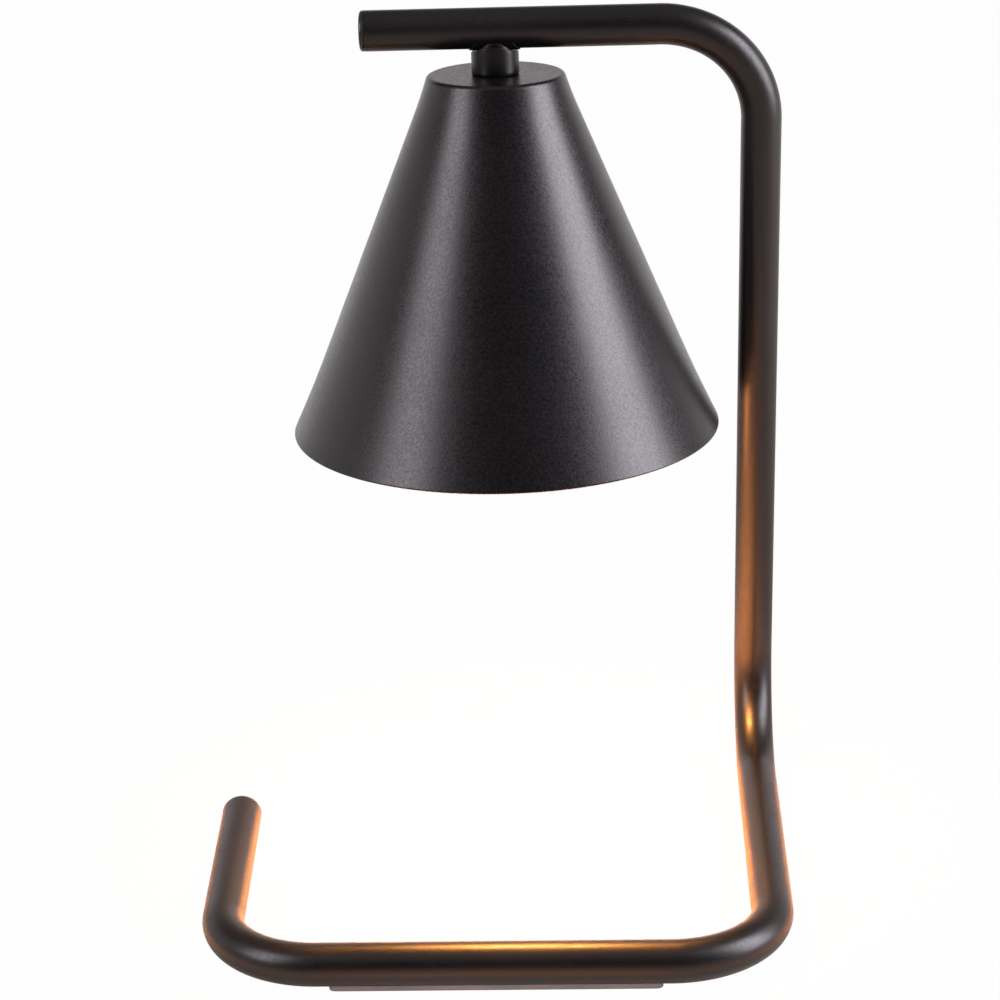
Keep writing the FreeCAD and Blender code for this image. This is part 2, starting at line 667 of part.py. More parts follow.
def make_strap():
    """Steel strap that hangs the lampholder from the nipple, with its feet turned inward."""
    body = new_body("hanger_strap")
    half = "strap_span / 2"
    profile = new_sketch(body, "strap_profile", "XZ_Plane")
    right_side = [
        (half, "0"),
        (half, "0 - strap_height"),
        (f"{half} - strap_foot", "0 - strap_height"),
        (f"{half} - strap_foot", "strap_thickness - strap_height"),
        (f"{half} - strap_thickness", "strap_thickness - strap_height"),
        (f"{half} - strap_thickness", "0 - strap_thickness"),
    ]
    left_side = [(f"0 - ({x})", z) for x, z in reversed(right_side)]
    trace(profile, right_side + left_side)
    padded(body, "strap_sheet", profile, "strap_width", midplane=True)

    def at_corner(x, z):
        def chosen(edge):
            middle = edge.CenterOfMass
            along = edge.BoundBox.YLength > size("strap_width") / 2
            return (along and abs(abs(middle.x) - size(x)) < 1e-4
                    and abs(middle.z - size(z)) < 1e-4)
        return chosen

    inner = f"{half} - strap_thickness"
    rounded(body, "outer_bend_top", "Fillet", "strap_bend + strap_thickness", at_corner(half, "0"))
    rounded(body, "outer_bend_foot", "Fillet", "strap_bend + strap_thickness",
            at_corner(half, "0 - strap_height"))
    rounded(body, "inner_bend_top", "Fillet", "strap_bend", at_corner(inner, "0 - strap_thickness"))
    rounded(body, "inner_bend_foot", "Fillet", "strap_bend",
            at_corner(inner, "strap_thickness - strap_height"))
    holes = new_sketch(body, "strap_hole_circles", "XY_Plane")
    ring(holes, "0", "0", NIPPLE_HOLE)
    ring(holes, "screw_pitch / 2", "0", SCREW_HOLE)
    ring(holes, "0 - screw_pitch / 2", "0", SCREW_HOLE)
    pocketed(body, "strap_holes", holes)
    body.Placement.Base = at_lamp(STRAP_TOP)
    return body


def make_earth_tag():
    """Ring tag under the strap, with a tongue and a barrel for the earth lead."""
    body = new_body("earth_tag")
    barrel = "(lead_diameter / 2 + fit_clearance + tag_barrel_wall)"
    eye = new_sketch(body, "tag_eye_circle", "XY_Plane")
    ring(eye, "0", "0", "tag_diameter / 2")
    padded(body, "tag_eye", eye, "tag_thickness", reverse=True)
    tongue = new_sketch(body, "tag_tongue_outline", "XY_Plane")
    trace(tongue, [
        (f"0 - {barrel}", "0 - tag_reach"),
        (barrel, "0 - tag_reach"),
        (barrel, "0"),
        (f"0 - {barrel}", "0"),
    ])
    padded(body, "tag_tongue", tongue, "tag_thickness", reverse=True)
    tube = new_sketch(body, "tag_barrel_circle", "XY_Plane")
    ring(tube, "0", "0 - tag_reach", barrel)
    padded(body, "tag_barrel_tube", tube, "tag_barrel", reverse=True)
    holes = new_sketch(body, "tag_hole_circles", "XY_Plane")
    ring(holes, "0", "0", NIPPLE_HOLE)
    ring(holes, "0", "0 - tag_reach", "lead_diameter / 2 + fit_clearance")
    pocketed(body, "tag_holes", holes)
    body.Placement.Base = at_lamp(TAG_TOP)
    return body


def make_nut():
    """Hexagon lock nut, its corners turned off at both ends."""
    body = new_body("lock_nut")
    sketch = new_sketch(body, "hexagon", "XY_Plane")
    corner = "(nut_flats / 2 / cos(30))"
    trace(sketch, [(f"{corner} * cos({angle})", f"{corner} * sin({angle})")
                   for angle in (30, 90, 150, 210, 270, 330)])
    padded(body, "nut_blank", sketch, "nut_thickness", reverse=True)
    hole = new_sketch(body, "nut_hole_circle", "XY_Plane")
    ring(hole, "0", "0", NIPPLE_HOLE)
    pocketed(body, "nut_hole", hole)
    slant = "(nut_flats / 2 * tan(30))"
    grooved(body, "top_corners", [
        ("nut_flats / 2", "0"),
        ("nut_flats", f"0 - {slant}"),
        ("nut_flats", "0"),
    ])
    grooved(body, "bottom_corners", [
        ("nut_flats / 2", "0 - nut_thickness"),
        ("nut_flats", "0 - nut_thickness"),
        ("nut_flats", f"{slant} - nut_thickness"),
    ])
    body.Placement.Base = at_lamp(NUT_TOP)
    return body


def make_holder_screws():
    """Two slotted screws that hold strap and both ceramic halves together."""
    seat = at_lamp(f"{HOLDER_TOP} + strap_thickness")
    centre = Vector(size("screw_pitch / 2"), 0, 0)
    shank = cylinder("screw_shank", "screw_diameter / 2", "screw_length",
                     centre - Vector(0, 0, size("screw_length")))
    head = cylinder("screw_head", "screw_head_diameter / 2", "screw_head_height", centre)
    screw = joined("screw_blank", shank, head)
    driver = doc.addObject("Part::Box", "driver_slot")
    driver.setExpression("Length", bound("screw_slot"))
    driver.setExpression("Width", bound("screw_head_diameter"))
    driver.setExpression("Height", bound("screw_slot"))
    driver.Placement.Base = centre + Vector(
        -size("screw_slot / 2"), -size("screw_head_diameter / 2"),
        size("screw_head_height - screw_slot"))
    pair = both_sides("holder_screws", cut("slotted_screw", screw, driver))
    pair.Placement.Base = seat
    return pair


def make_holder_cap():
    """Upper ceramic half of the lampholder, which closes the contact chambers."""
    body = new_body("lampholder_cap")
    sketch = new_sketch(body, "cap_circle", "XY_Plane")
    ring(sketch, "0", "0", "holder_diameter / 2")
    padded(body, "cap_disc", sketch, "holder_cap_height", reverse=True)
    rounded(body, "cap_edge", "Chamfer", "holder_chamfer",
            lambda edge: is_circle(edge, "holder_diameter / 2", "0"))
    holes = new_sketch(body, "cap_hole_circles", "XY_Plane")
    for side in ("", "0 - "):
        ring(holes, f"{side}screw_pitch / 2", "0", SCREW_HOLE)
        ring(holes, f"{side}lead_hole_pitch / 2", "0", "lead_diameter / 2 + running_gap")
    pocketed(body, "cap_holes", holes)
    body.Placement.Base = at_lamp(HOLDER_TOP)
    return body


def make_holder_body():
    """Lower ceramic half: two chambers over a floor with a curved keyhole for each pin."""
    body = new_body("lampholder_body")
    disc = new_sketch(body, "body_circle", "XY_Plane")
    ring(disc, "0", "0", "holder_diameter / 2")
    padded(body, "body_disc", disc, "holder_body_height", reverse=True)
    rounded(body, "body_edge", "Chamfer", "holder_chamfer",
            lambda edge: is_circle(edge, "holder_diameter / 2", "0 - holder_body_height"))
    chamber = new_sketch(body, "chamber_outline", "XY_Plane")
    wall = "chamber_barrier / 2"
    reach = f"sqrt(chamber_radius^2 - ({wall})^2)"
    trace(chamber, [
        (wall, f"0 - {reach}"),
        (wall, reach, "chamber_radius"),
    ])
    chamber_cut = pocketed(body, "chamber", chamber, CHAMBER_DEPTH)
    entry = new_sketch(body, "entry_circle", "XY_Plane")
    ring(entry, "pin_pitch / 2 * cos(twist_angle)", "0 - pin_pitch / 2 * sin(twist_angle)",
         "pin_head_diameter / 2 + running_gap")
    entry_cut = pocketed(body, "entry_hole", entry)
    lock = new_sketch(body, "lock_circle", "XY_Plane")
    ring(lock, "pin_pitch / 2", "0", "pin_diameter / 2 + slot_clearance")
    lock_cut = pocketed(body, "lock_hole", lock)
    half_slot = "(pin_diameter / 2 + slot_clearance)"
    floor = "0 - holder_body_height"
    ceiling = f"(0 - {CHAMBER_DEPTH} + running_gap)"
    slot_cut = grooved(body, "twist_slot", [
        (f"pin_pitch / 2 - {half_slot}", floor),
        (f"pin_pitch / 2 + {half_slot}", floor),
        (f"pin_pitch / 2 + {half_slot}", ceiling),
        (f"pin_pitch / 2 - {half_slot}", ceiling),
    ], angle="twist_angle", reverse=True)
    screw = new_sketch(body, "screw_hole_circle", "XY_Plane")
    ring(screw, "screw_pitch / 2", "0", SCREW_HOLE)
    depth = "screw_length - strap_thickness - holder_cap_height + running_gap"
    screw_cut = pocketed(body, "screw_hole", screw, depth)
    repeated(body, "both_sides", [chamber_cut, entry_cut, lock_cut, slot_cut, screw_cut], "2")
    body.Placement.Base = at_lamp(HOLDER_MIDDLE)
    return body


def make_contact(name, turn):
    """Bent bronze contact: a tab under the cap, a back and a leaf over the pin's head.

    It is turned about the lamp's axis by an angle in degrees.
    """
    body = new_body(name)
    sheet_metal = "contact_sheet"
    leaf = f"({CHAMBER_DEPTH} - running_gap - pin_head_height - running_gap)"
    profile = new_sketch(body, f"{name}_profile", "XZ_Plane")
    trace(profile, [
        ("contact_inner", "0"),
        ("contact_inner", f"0 - {sheet_metal}"),
        (f"contact_outer - {sheet_metal}", f"0 - {sheet_metal}"),
        (f"contact_outer - {sheet_metal}", f"{sheet_metal} - {leaf}"),
        ("contact_inner", f"{sheet_metal} - {leaf}"),
        ("contact_inner", f"0 - {leaf}"),
        ("contact_outer", f"0 - {leaf}"),
        ("contact_outer", "0"),
    ])
    padded(body, f"{name}_strip", profile, "contact_width", midplane=True)
    body.Placement = FreeCAD.Placement(at_lamp(HOLDER_MIDDLE), FreeCAD.Rotation(UP, turn))
    return body


# --- the leads, from the cord bush through the whole tube to the lampholder

STEP = size("lead_spacing")
LEAD_PLACES = {
    "lead_neutral": Vector(2 / 3, 2 / 3, 0) * STEP,
    "lead_earth": Vector(2 / 3, -4 / 3, 2) * STEP,
    "lead_live": Vector(-4 / 3, 2 / 3, -2) * STEP,
}


def make_lead(name, bore_x, tail, tail_radii):
    """One insulated lead: beside the tube's axis all the way, then down the nipple."""
    shift = LEAD_PLACES[name]
    start = leg_tube_end - leg_direction * size("bush_stem + nipple_turn")
    corners = [point + shift for point in (start, left_corner, right_corner, post_foot, post_top)]
    drop = Vector(lamp_top.x + bore_x, post_top.y + shift.y, post_top.z + shift.z)
    corners.append(drop)
    corners += [Vector(lamp_top.x, lamp_top.y, lamp_top.z) + point for point in tail]
    radii = [size("bend_radius")] * FRAME_BENDS + [size("nipple_turn")] + tail_radii
    lead = swept(name, corners, radii, "lead_diameter / 2")
    lead.Label = name
    return lead


def make_leads():
    """Neutral and live go to the contacts, and earth turns back up to its tag."""
    leads = []
    for name, side in (("lead_neutral", -1), ("lead_live", 1)):
        bore_x = side * size("bore_spacing")
        hole_x = side * size("lead_hole_pitch / 2")
        tail = [
            Vector(bore_x, LEAD_PLACES[name].y, size(f"{NIPPLE_END} - lead_diameter")),
            Vector(hole_x, 0, size(f"{HOLDER_TOP} + lead_diameter")),
            Vector(hole_x, 0, size(HOLDER_MIDDLE)),
        ]
        leads.append(make_lead(name, bore_x, tail, [size("lead_turn")] * 2))
    shift = LEAD_PLACES["lead_earth"]
    loop_level = size(f"{NIPPLE_END} - lead_turn - lead_diameter / 2")
    tail = [
        Vector(0, shift.y, loop_level),
        Vector(0, -size("tag_reach"), loop_level),
        Vector(0, -size("tag_reach"), size(f"{TAG_TOP} - tag_thickness")),
    ]
    leads.append(make_lead("lead_earth", 0, tail, [size("lead_turn")] * 2))
    return leads


# --- the bulb, which twists out of the lampholder

def make_bulb_base():
    """Ceramic base of the bulb, with a hole for each pin and a hollow for the capsule."""
    body = new_body("bulb_base")
    top = "base_top_diameter / 2"
    cavity = "base_cavity_diameter / 2"
    ceiling = "(0 - base_height + base_cavity_depth)"
    revolved(body, "base_block", [
        ("0", "0"),
        ("0", ceiling),
        (cavity, ceiling),
        (cavity, "0 - base_height"),
        ("base_bottom_diameter / 2", "0 - base_height"),
        (top, "0 - base_chamfer"),
        (f"{top} - base_chamfer", "0"),
    ])
    holes = new_sketch(body, "pin_hole_circles", "XY_Plane")
    ring(holes, "pin_pitch / 2", "0", "pin_diameter / 2 + fit_clearance")
    ring(holes, "0 - pin_pitch / 2", "0", "pin_diameter / 2 + fit_clearance")
    pocketed(body, "pin_holes", holes, "pin_root")
    body.Placement.Base = at_lamp(BULB_TOP)
    return body


def make_bulb_pins():
    """Two stepped pins: the head locks behind the lampholder's floor."""
    x = Vector(size("pin_pitch / 2"), 0, 0)
    free_shank = "(running_gap + keyhole_plate + running_gap)"
    shank = cylinder("pin_shank", "pin_diameter / 2", f"pin_root + {free_shank}",
                     x - Vector(0, 0, size("pin_root")))
    under_head = Vector(0, 0, size(free_shank))
    head = cylinder("pin_head", "pin_head_diameter / 2", "pin_head_height - pin_chamfer",
                    x + under_head)
    nose = doc.addObject("Part::Cone", "pin_nose")
    nose.setExpression("Radius1", bound("pin_head_diameter / 2"))
    nose.setExpression("Radius2", bound("pin_head_diameter / 2 - pin_chamfer"))
    nose.setExpression("Height", bound("pin_chamfer"))
    nose.Placement.Base = x + under_head + Vector(0, 0, size("pin_head_height - pin_chamfer"))
    pair = both_sides("bulb_pins", joined("pin", shank, head, nose))
    pair.Placement.Base = at_lamp(BULB_TOP)
    return pair


REFLECTOR_TOP = "(0 - base_height)"
RIM_TOP = "(rim_band - bulb_length)"
LEDGE = "(lens_thickness - bulb_length)"
LENS_RADIUS = "(bulb_diameter / 2 - glass_wall)"


def make_bulb_reflector():
    """Glass bowl of the reflector, with a straight rim and a ledge for the front glass."""
    body = new_body("bulb_reflector")
    neck = "base_bottom_diameter / 2"
    revolved(body, "reflector_bowl", [
        (f"{neck} - glass_wall", REFLECTOR_TOP),
        (f"{LENS_RADIUS} - lens_ledge", LEDGE, "0 - (glass_curve - glass_wall)"),
        (LENS_RADIUS, LEDGE),
        (LENS_RADIUS, "0 - bulb_length"),
        ("bulb_diameter / 2", "0 - bulb_length"),
        ("bulb_diameter / 2", RIM_TOP),
        (neck, REFLECTOR_TOP, "glass_curve"),
    ])
    body.Placement.Base = at_lamp(BULB_TOP)
    return body


def make_bulb_lens():
    """Front glass, flat inside and slightly domed outside, within the rim."""
    body = new_body("bulb_lens")
    edge = f"({LENS_RADIUS} - fit_clearance)"
    sag = f"(lens_dome - sqrt(lens_dome^2 - {edge}^2))"
    revolved(body, "front_glass", [
        ("0", LEDGE),
        ("0", "0 - bulb_length"),
        (edge, f"{sag} - bulb_length", "lens_dome"),
        (edge, LEDGE),
    ])
    body.Placement.Base = at_lamp(BULB_TOP)
    return body


def make_bulb_capsule():
    """Quartz capsule: a tube closed below by a round end."""
    body = new_body("bulb_capsule")
    outer = "(capsule_diameter / 2)"
    inner = "(capsule_diameter / 2 - capsule_wall)"
    top = "(0 - base_height + base_cavity_depth)"
    bottom = f"({top} - capsule_length)"
    revolved(body, "quartz_tube", [
        (inner, top),
        (inner, f"{bottom} + {outer}"),
        ("0", f"{bottom} + capsule_wall", f"0 - {inner}"),
        ("0", bottom),
        (outer, f"{bottom} + {outer}", outer),
        (outer, top),
    ])
    body.Placement.Base = at_lamp(BULB_TOP)
    return body


def make_bulb_filament():
    """Filament across two posts that stand down from the base."""
    half = size("filament_span / 2")
    top = size(f"{BULB_TOP} - base_height + base_cavity_depth")
    level = top - size("filament_depth")
    corners = [lamp_top + Vector(x, 0, z)
               for x, z in ((-half, top), (-half, level), (half, level), (half, top))]
    filament = swept("bulb_filament", corners, [size("filament_turn")] * 2,
                     "filament_diameter / 2")
    filament.Label = "bulb_filament"
    return filament


pieces = [make_frame_tube(), make_arm_end_cap(), make_cord_bush()]
pieces += make_feet()
pieces += [make_gasket(), make_neck(), make_nipple(), make_shade(), make_washer(), make_strap(),
           make_earth_tag(), make_nut(), make_holder_screws(), make_holder_cap(),
           make_holder_body()]
pieces += [make_contact("contact_live", 0), make_contact("contact_neutral", 180)]
pieces += make_leads()
pieces += [make_bulb_base(), make_bulb_pins(), make_bulb_reflector(), make_bulb_lens(),
           make_bulb_capsule(), make_bulb_filament()]
doc.recompute()

# The whole lamp is centred over the origin, standing on z = 0.
whole = FreeCAD.BoundBox()
for piece in pieces:
    whole.add(piece.Shape.optimalBoundingBox(False, False))
to_origin = Vector(-whole.Center.x, -whole.Center.y, 0)
for piece in pieces:
    piece.Placement.Base = piece.Placement.Base + to_origin
doc.recompute()

failed = [item.Name for item in doc.Objects
          if "Invalid" in item.State or "Error" in item.State]
failed += [piece.Label for piece in pieces
           if piece.Shape.isNull() or not piece.Shape.isValid() or not piece.Shape.Solids]
if failed:
    raise RuntimeError(f"failed objects: {failed}")

os.makedirs("parts", exist_ok=True)
for piece in pieces:
    piece.Shape.exportStep(f"parts/{piece.Label}.step")
    print(f"{piece.Label}: {len(piece.Shape.Solids)} solid, {piece.Shape.Volume:.1f} mm3")
print(f"lamp axis at x {lamp_top.x + to_origin.x:.4f}, y {lamp_top.y + to_origin.y:.4f}")
print(f"shade top at z {lamp_top.z:.4f}")
print(f"front rail axis at y {to_origin.y:.4f}, middle at x {to_origin.x:.4f}")
print(f"size {whole.XLength:.3f} x {whole.YLength:.3f} x {whole.ZMax:.3f} mm")
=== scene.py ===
# %% [markdown]
# # A candle warmer lamp, dressed for the camera
#
# The lamp is one bent steel tube that stands on the table as a U, climbs as a leaning post and
# ends as an arm. A spun metal cone hangs from the arm with a twist-lock bulb inside, whose warmth
# melts the wax of a jar candle below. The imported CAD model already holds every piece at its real
# size. This script gives those pieces their finish, and makes again, as finer meshes, the ones
# whose surface carries the lamp's look: the tube, its plugs and feet, the neck, the shade, the
# nipple, and the glass of the bulb. The CAD model comes first and stays where it is.

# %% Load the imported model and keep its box
import bmesh
import bpy
import json
import numpy as np
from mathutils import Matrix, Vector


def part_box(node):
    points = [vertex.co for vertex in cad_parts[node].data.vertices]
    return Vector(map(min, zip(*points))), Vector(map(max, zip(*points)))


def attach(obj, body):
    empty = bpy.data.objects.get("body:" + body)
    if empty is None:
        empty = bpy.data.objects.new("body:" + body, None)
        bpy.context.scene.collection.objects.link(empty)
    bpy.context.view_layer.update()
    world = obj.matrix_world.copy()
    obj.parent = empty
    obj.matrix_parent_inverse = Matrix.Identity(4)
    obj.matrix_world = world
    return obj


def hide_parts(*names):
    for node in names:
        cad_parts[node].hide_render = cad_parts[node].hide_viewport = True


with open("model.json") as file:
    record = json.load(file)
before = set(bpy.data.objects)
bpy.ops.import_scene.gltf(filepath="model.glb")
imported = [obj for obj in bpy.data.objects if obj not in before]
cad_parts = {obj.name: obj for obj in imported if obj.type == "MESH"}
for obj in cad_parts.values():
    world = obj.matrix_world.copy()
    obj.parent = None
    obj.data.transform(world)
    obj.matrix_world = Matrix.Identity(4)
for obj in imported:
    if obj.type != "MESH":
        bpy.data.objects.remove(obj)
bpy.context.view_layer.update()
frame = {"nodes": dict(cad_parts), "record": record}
MM = 0.001
bodies = frame["record"]["behaviour"]["bodies"]
print("bodies:", {name: len(nodes) for name, nodes in bodies.items()})

# %% [markdown]
# ## Measuring instead of repeating
#
# The pieces made here have to sit exactly where the CAD pieces sit. So their places are read from
# the CAD nodes' boxes wherever a box can tell them: the middle of the arm's cap is on the arm's
# axis, and the middle of the neck is on the lamp's. Only what a box can't tell, such as an angle
# or a wall, is written down.

# %% Places and radii from the frame
def low(node):
    """Lowest corner of a CAD node's box, as an array in metres."""
    return np.array(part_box(node)[0])


def high(node):
    """Highest corner of a CAD node's box, as an array in metres."""
    return np.array(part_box(node)[1])


def middle(node):
    """Middle of a CAD node's box."""
    return (low(node) + high(node)) / 2


def size(node):
    """Width, depth and height of a CAD node's box."""
    return high(node) - low(node)


def levels(node):
    """Bottom and top of a CAD node's box."""
    return low(node)[2], high(node)[2]


def reach(node):
    """Radius of a piece that is round about the lamp's axis."""
    return high(node)[0] - lamp_axis[0]


TUBE_WALL = 1.5 * MM
BEND_RADIUS = 31 * MM
LEG_SPLAY = np.radians(2.6)
LEG_LENGTH = 101.5 * MM
LEAN_OUT = np.radians(0.65)
LEAN_FORWARD = np.radians(8.9)
HEAD_LENGTH = 1.5 * MM
tube_radius = size("arm_end_cap")[2] / 2
lamp_axis = middle("neck_spacer") * [1, 1, 0]
shade_top = high("shade_shell")[2]
print("tube radius", round(tube_radius / MM, 3), "mm, lamp axis at", np.round(lamp_axis / MM, 2))

# %% [markdown]
# ## The camera
#
# The lamp is seen from the front and a little above with a long lens, so its verticals stay almost
# upright. A lens shift moves the picture up in the frame, as a photographer does with a shift lens.
# The turn is held in degrees, because 73 degrees from straight down is easy to picture.

# %% Camera
CAMERA_PLACE = (0.04242, -0.82890, 0.41460)
CAMERA_TURN = (73.205, 1.773, 2.131)
SENSOR_WIDTH = 36
LENS_SHARE = 2.8176
LENS_SHIFT = -0.1419

camera_data = bpy.data.cameras.new("camera")
camera_data.sensor_width = SENSOR_WIDTH
camera_data.lens = LENS_SHARE * SENSOR_WIDTH
camera_data.shift_y = LENS_SHIFT
camera = bpy.data.objects.new("camera", camera_data)
camera.location = CAMERA_PLACE
camera.rotation_euler = np.radians(CAMERA_TURN)
bpy.context.scene.collection.objects.link(camera)
bpy.context.scene.camera = camera
bpy.context.scene.view_settings.view_transform = "Standard"
print("focal length", round(camera_data.lens, 1), "mm")

# %% [markdown]
# ## Light for a black lamp
#
# A black coat has almost no colour of its own. What one sees on it is the room. Two tall softboxes
# at its sides, raised above the lamp, draw the two soft bands down the cone. An area lamp is the
# simplest softbox, because its size sets how soft the band's edges are. The camera never sees the
# lamps themselves, only what they do to the coat.

# %% Area lamps
def area_lamp(name, place, turn, extent, watts, colour, spread=180):
    """An area lamp hidden from the camera: a disc with one extent, a rectangle with two."""
    light = bpy.data.lights.new(name, "AREA")
    light.shape = "RECTANGLE" if len(extent) == 2 else "DISK"
    light.size, light.size_y = extent[0], extent[-1]
    light.spread = np.radians(spread)
    light.energy = watts
    light.color = colour
    holder = bpy.data.objects.new(name, light)
    holder.location = place
    holder.rotation_euler = turn
    holder.visible_camera = False
    bpy.context.scene.collection.objects.link(holder)
    print(name, "gives", watts, "W")


def softbox(name, place, extent, watts, colour):
    """A rectangle that faces the middle of the lamp's height."""
    aim = np.array([0, 0, shade_top / 2]) - place
    turn = (np.arctan2(np.hypot(aim[0], aim[1]), -aim[2]), 0, np.arctan2(-aim[0], aim[1]))
    area_lamp(name, place, turn, extent, watts, colour)


softbox("right_softbox", (1.00, -0.17, 0.54), (0.60, 1.00), 21.5, (0.96, 0.92, 1.0))
softbox("left_softbox", (-0.86, -0.54, 0.66), (0.48, 0.80), 8.6, (1.0, 0.93, 1.0))

# %% [markdown]
# ## The bulb's own light
#
# The lamp is switched on. A small round area lamp just under the front glass is the bulb's beam:
# it draws the gold line along the rail, warms the inner sides of the legs and lights the table.
# Its spread is the cone that the shade lets out, and it stands a little to the front, so that the
# gold line falls on the rail's inner shoulder. A dimmed halogen bulb is very warm, so the colour is
# a strong amber. A candle jar would throw some of this beam sideways. A weak upright lamp does that
# here, and warms the post.

# %% Warm lamps
BEAM_WIDTH = 47 * MM
BEAM_GAP = 1.5 * MM
BEAM_FORWARD = 22 * MM
GLOW_SIZE = (60 * MM, 40 * MM)
GLOW_HEIGHT = 98 * MM
FACING_POST = (0, -np.pi / 2, 0)

under_glass = lamp_axis + [0, -BEAM_FORWARD, low("bulb_lens")[2] - BEAM_GAP]
area_lamp("bulb_beam", under_glass, (0, 0, 0), (BEAM_WIDTH,), 0.95, (1.0, 0.38, 0.085), spread=94)
beside_jar = lamp_axis + [0, -BEAM_FORWARD, GLOW_HEIGHT]
area_lamp("side_glow", beside_jar, FACING_POST, GLOW_SIZE, 0.085, (1.0, 0.32, 0.085), spread=120)

# %% [markdown]
# ## Building node trees
#
# World, table and finishes are all node trees. Here a node is added in one line: each input is
# given by its name, and takes a number, a colour or the output of another node. The few nodes
# that come back everywhere get a helper of their own.

# %% Helpers for node trees
def feed(tree, socket, value):
    """Link an input to an output, or give it a number or a colour."""
    if isinstance(value, bpy.types.NodeSocket):
        tree.links.new(value, socket)
    else:
        socket.default_value = (*value, 1) if isinstance(value, tuple) else value


def add_node(tree, kind, **inputs):
    """A new node with its inputs fed; in their names an underscore stands for a space."""
    node = tree.nodes.new("ShaderNode" + kind)
    for label, value in inputs.items():
        feed(tree, node.inputs[label.replace("_", " ")], value)
    return node


def remap(tree, source, from_low, from_high, to_low, to_high, smooth=False):
    """Map Range: carries a value from one range to another, eased at both ends where smooth."""
    node = add_node(tree, "MapRange", Value=source, From_Min=from_low, From_Max=from_high,
                    To_Min=to_low, To_Max=to_high)
    node.interpolation_type = "SMOOTHSTEP" if smooth else "LINEAR"
    return node.outputs["Result"]


def feed_pair(tree, node, first, second, start=0):
    """Feed two neighbouring inputs of a node, which have the same or no name."""
    feed(tree, node.inputs[start], first)
    feed(tree, node.inputs[start + 1], second)
    return node.outputs[0]


def combine(tree, operation, first, second):
    """Math: one operation on two values."""
    node = add_node(tree, "Math")
    node.operation = operation
    return feed_pair(tree, node, first, second)


def mix_colour(tree, factor, first, second):
    """Mix: from one colour to another by a factor."""
    node = add_node(tree, "Mix", Factor=factor)
    node.data_type = "RGBA"
    for end, value in zip([end for end in node.inputs if end.type == "RGBA"], (first, second)):
        feed(tree, end, value)
    return next(end for end in node.outputs if end.type == "RGBA")


def straight_rays(tree):
    """One for rays from the camera or through glass, else nought."""
    rays = add_node(tree, "LightPath").outputs
    return combine(tree, "MAXIMUM", rays["Is Camera Ray"], rays["Is Transmission Ray"])


def split(tree, vector):
    """Separate XYZ: the three parts of a vector."""
    return add_node(tree, "SeparateXYZ", Vector=vector).outputs


def object_place(tree):
    """Place on the piece, in metres, so that a pattern stays put and keeps its real size."""
    return add_node(tree, "TexCoord").outputs["Object"]


# %% [markdown]
# ## The room
#
# The rest of the room needs no objects, because the world can be bright in some directions and dim
# in others. A sweep behind the lamp and a wall at its left, both low down, grey the flat top, the
# shade's edges and the upper sides of the legs. A weak ceiling lifts what looks up. The dark room
# in front leaves the black band down the middle of the shade. Straight rays, from the camera or
# through glass, see plain white instead.

# %% World
ROOM_LEVEL = 0.015
CEILING_LEVEL = 0.34
SWEEP_LEVEL = 1.08
LEFT_WALL_LEVEL = 0.85
ROOM_TINT = (1.0, 0.93, 0.95)
WHITE = (1.0, 1.0, 1.0)
# Each span runs from nothing to all: X is to the right, Y to the back and Z up, in a unit length.
SWEEP_SPAN = (0.35, 0.85)
LEFT_WALL_SPAN = (-0.30, -0.60)
BESIDE_SPAN = (-0.22, 0.15)
LOW_SPAN = (0.62, 0.22)
CEILING_SPAN = (0.42, 1.00)

world = bpy.data.worlds.new("studio")
bpy.context.scene.world = world
world.use_nodes = True
sky = world.node_tree
sky.nodes.clear()
towards = split(sky, add_node(sky, "TexCoord").outputs["Generated"])
sweep = remap(sky, towards["Y"], *SWEEP_SPAN, 0.0, SWEEP_LEVEL, smooth=True)
left_wall = remap(sky, towards["X"], *LEFT_WALL_SPAN, 0.0, LEFT_WALL_LEVEL, smooth=True)
beside = remap(sky, towards["Y"], *BESIDE_SPAN, 0.0, 1.0, smooth=True)
low_down = remap(sky, towards["Z"], *LOW_SPAN, 0.0, 1.0, smooth=True)
ceiling = remap(sky, towards["Z"], *CEILING_SPAN, ROOM_LEVEL, CEILING_LEVEL, smooth=True)
walls = combine(sky, "MAXIMUM", sweep, combine(sky, "MULTIPLY", left_wall, beside))
room = combine(sky, "MAXIMUM", combine(sky, "MULTIPLY", walls, low_down), ceiling)
straight = straight_rays(sky)
background = add_node(sky, "Background", Color=mix_colour(sky, straight, ROOM_TINT, WHITE),
                      Strength=combine(sky, "MAXIMUM", straight, room))
add_node(sky, "OutputWorld", Surface=background.outputs["Background"])
print("world nodes:", len(sky.nodes))

# %% [markdown]
# ## The table
#
# The table throws the bulb's warm light back onto the tube, which is where the brown on the tube's
# lower side comes from. So it has to be a real diffuse surface, with a painted pool of light on it:
# paler round the lamp's axis, and darker farther out, where it would only grey the coat. Three
# tricks go on top. For straight rays
# it is mostly plain white, so that the picture has a white ground with a faint warm tint. Gloss
# sees a white sheen on it, strongest far behind the lamp, where the table runs into the sweep.
# From below it is clear, so that one can look up into the shade. It lies a hair under the soles,
# because two faces in one plane would flicker.

# %% Finish: table
FLOOR_WHITE = 0.985
# Painted pool of light: a pale colour round the lamp's axis, fading to a darker one outside it.
PAINTED_POOL_COLOUR = (0.84, 0.68, 0.56)
OUTSIDE_POOL_COLOUR = (0.44, 0.35, 0.31)
PAINTED_POOL_EDGE = (0.08, 0.22)
FAR_SHEEN = 0.9
FAR_SPAN = (0.15, 0.80)
NEAR_SHEEN = 0.22
SHEEN_COLOUR = (1.0, 0.93, 0.85)


def mix_shader(tree, factor, first, second):
    """Mix Shader: from one shader to another by a factor."""
    return feed_pair(tree, add_node(tree, "MixShader", Fac=factor), first, second, start=1)


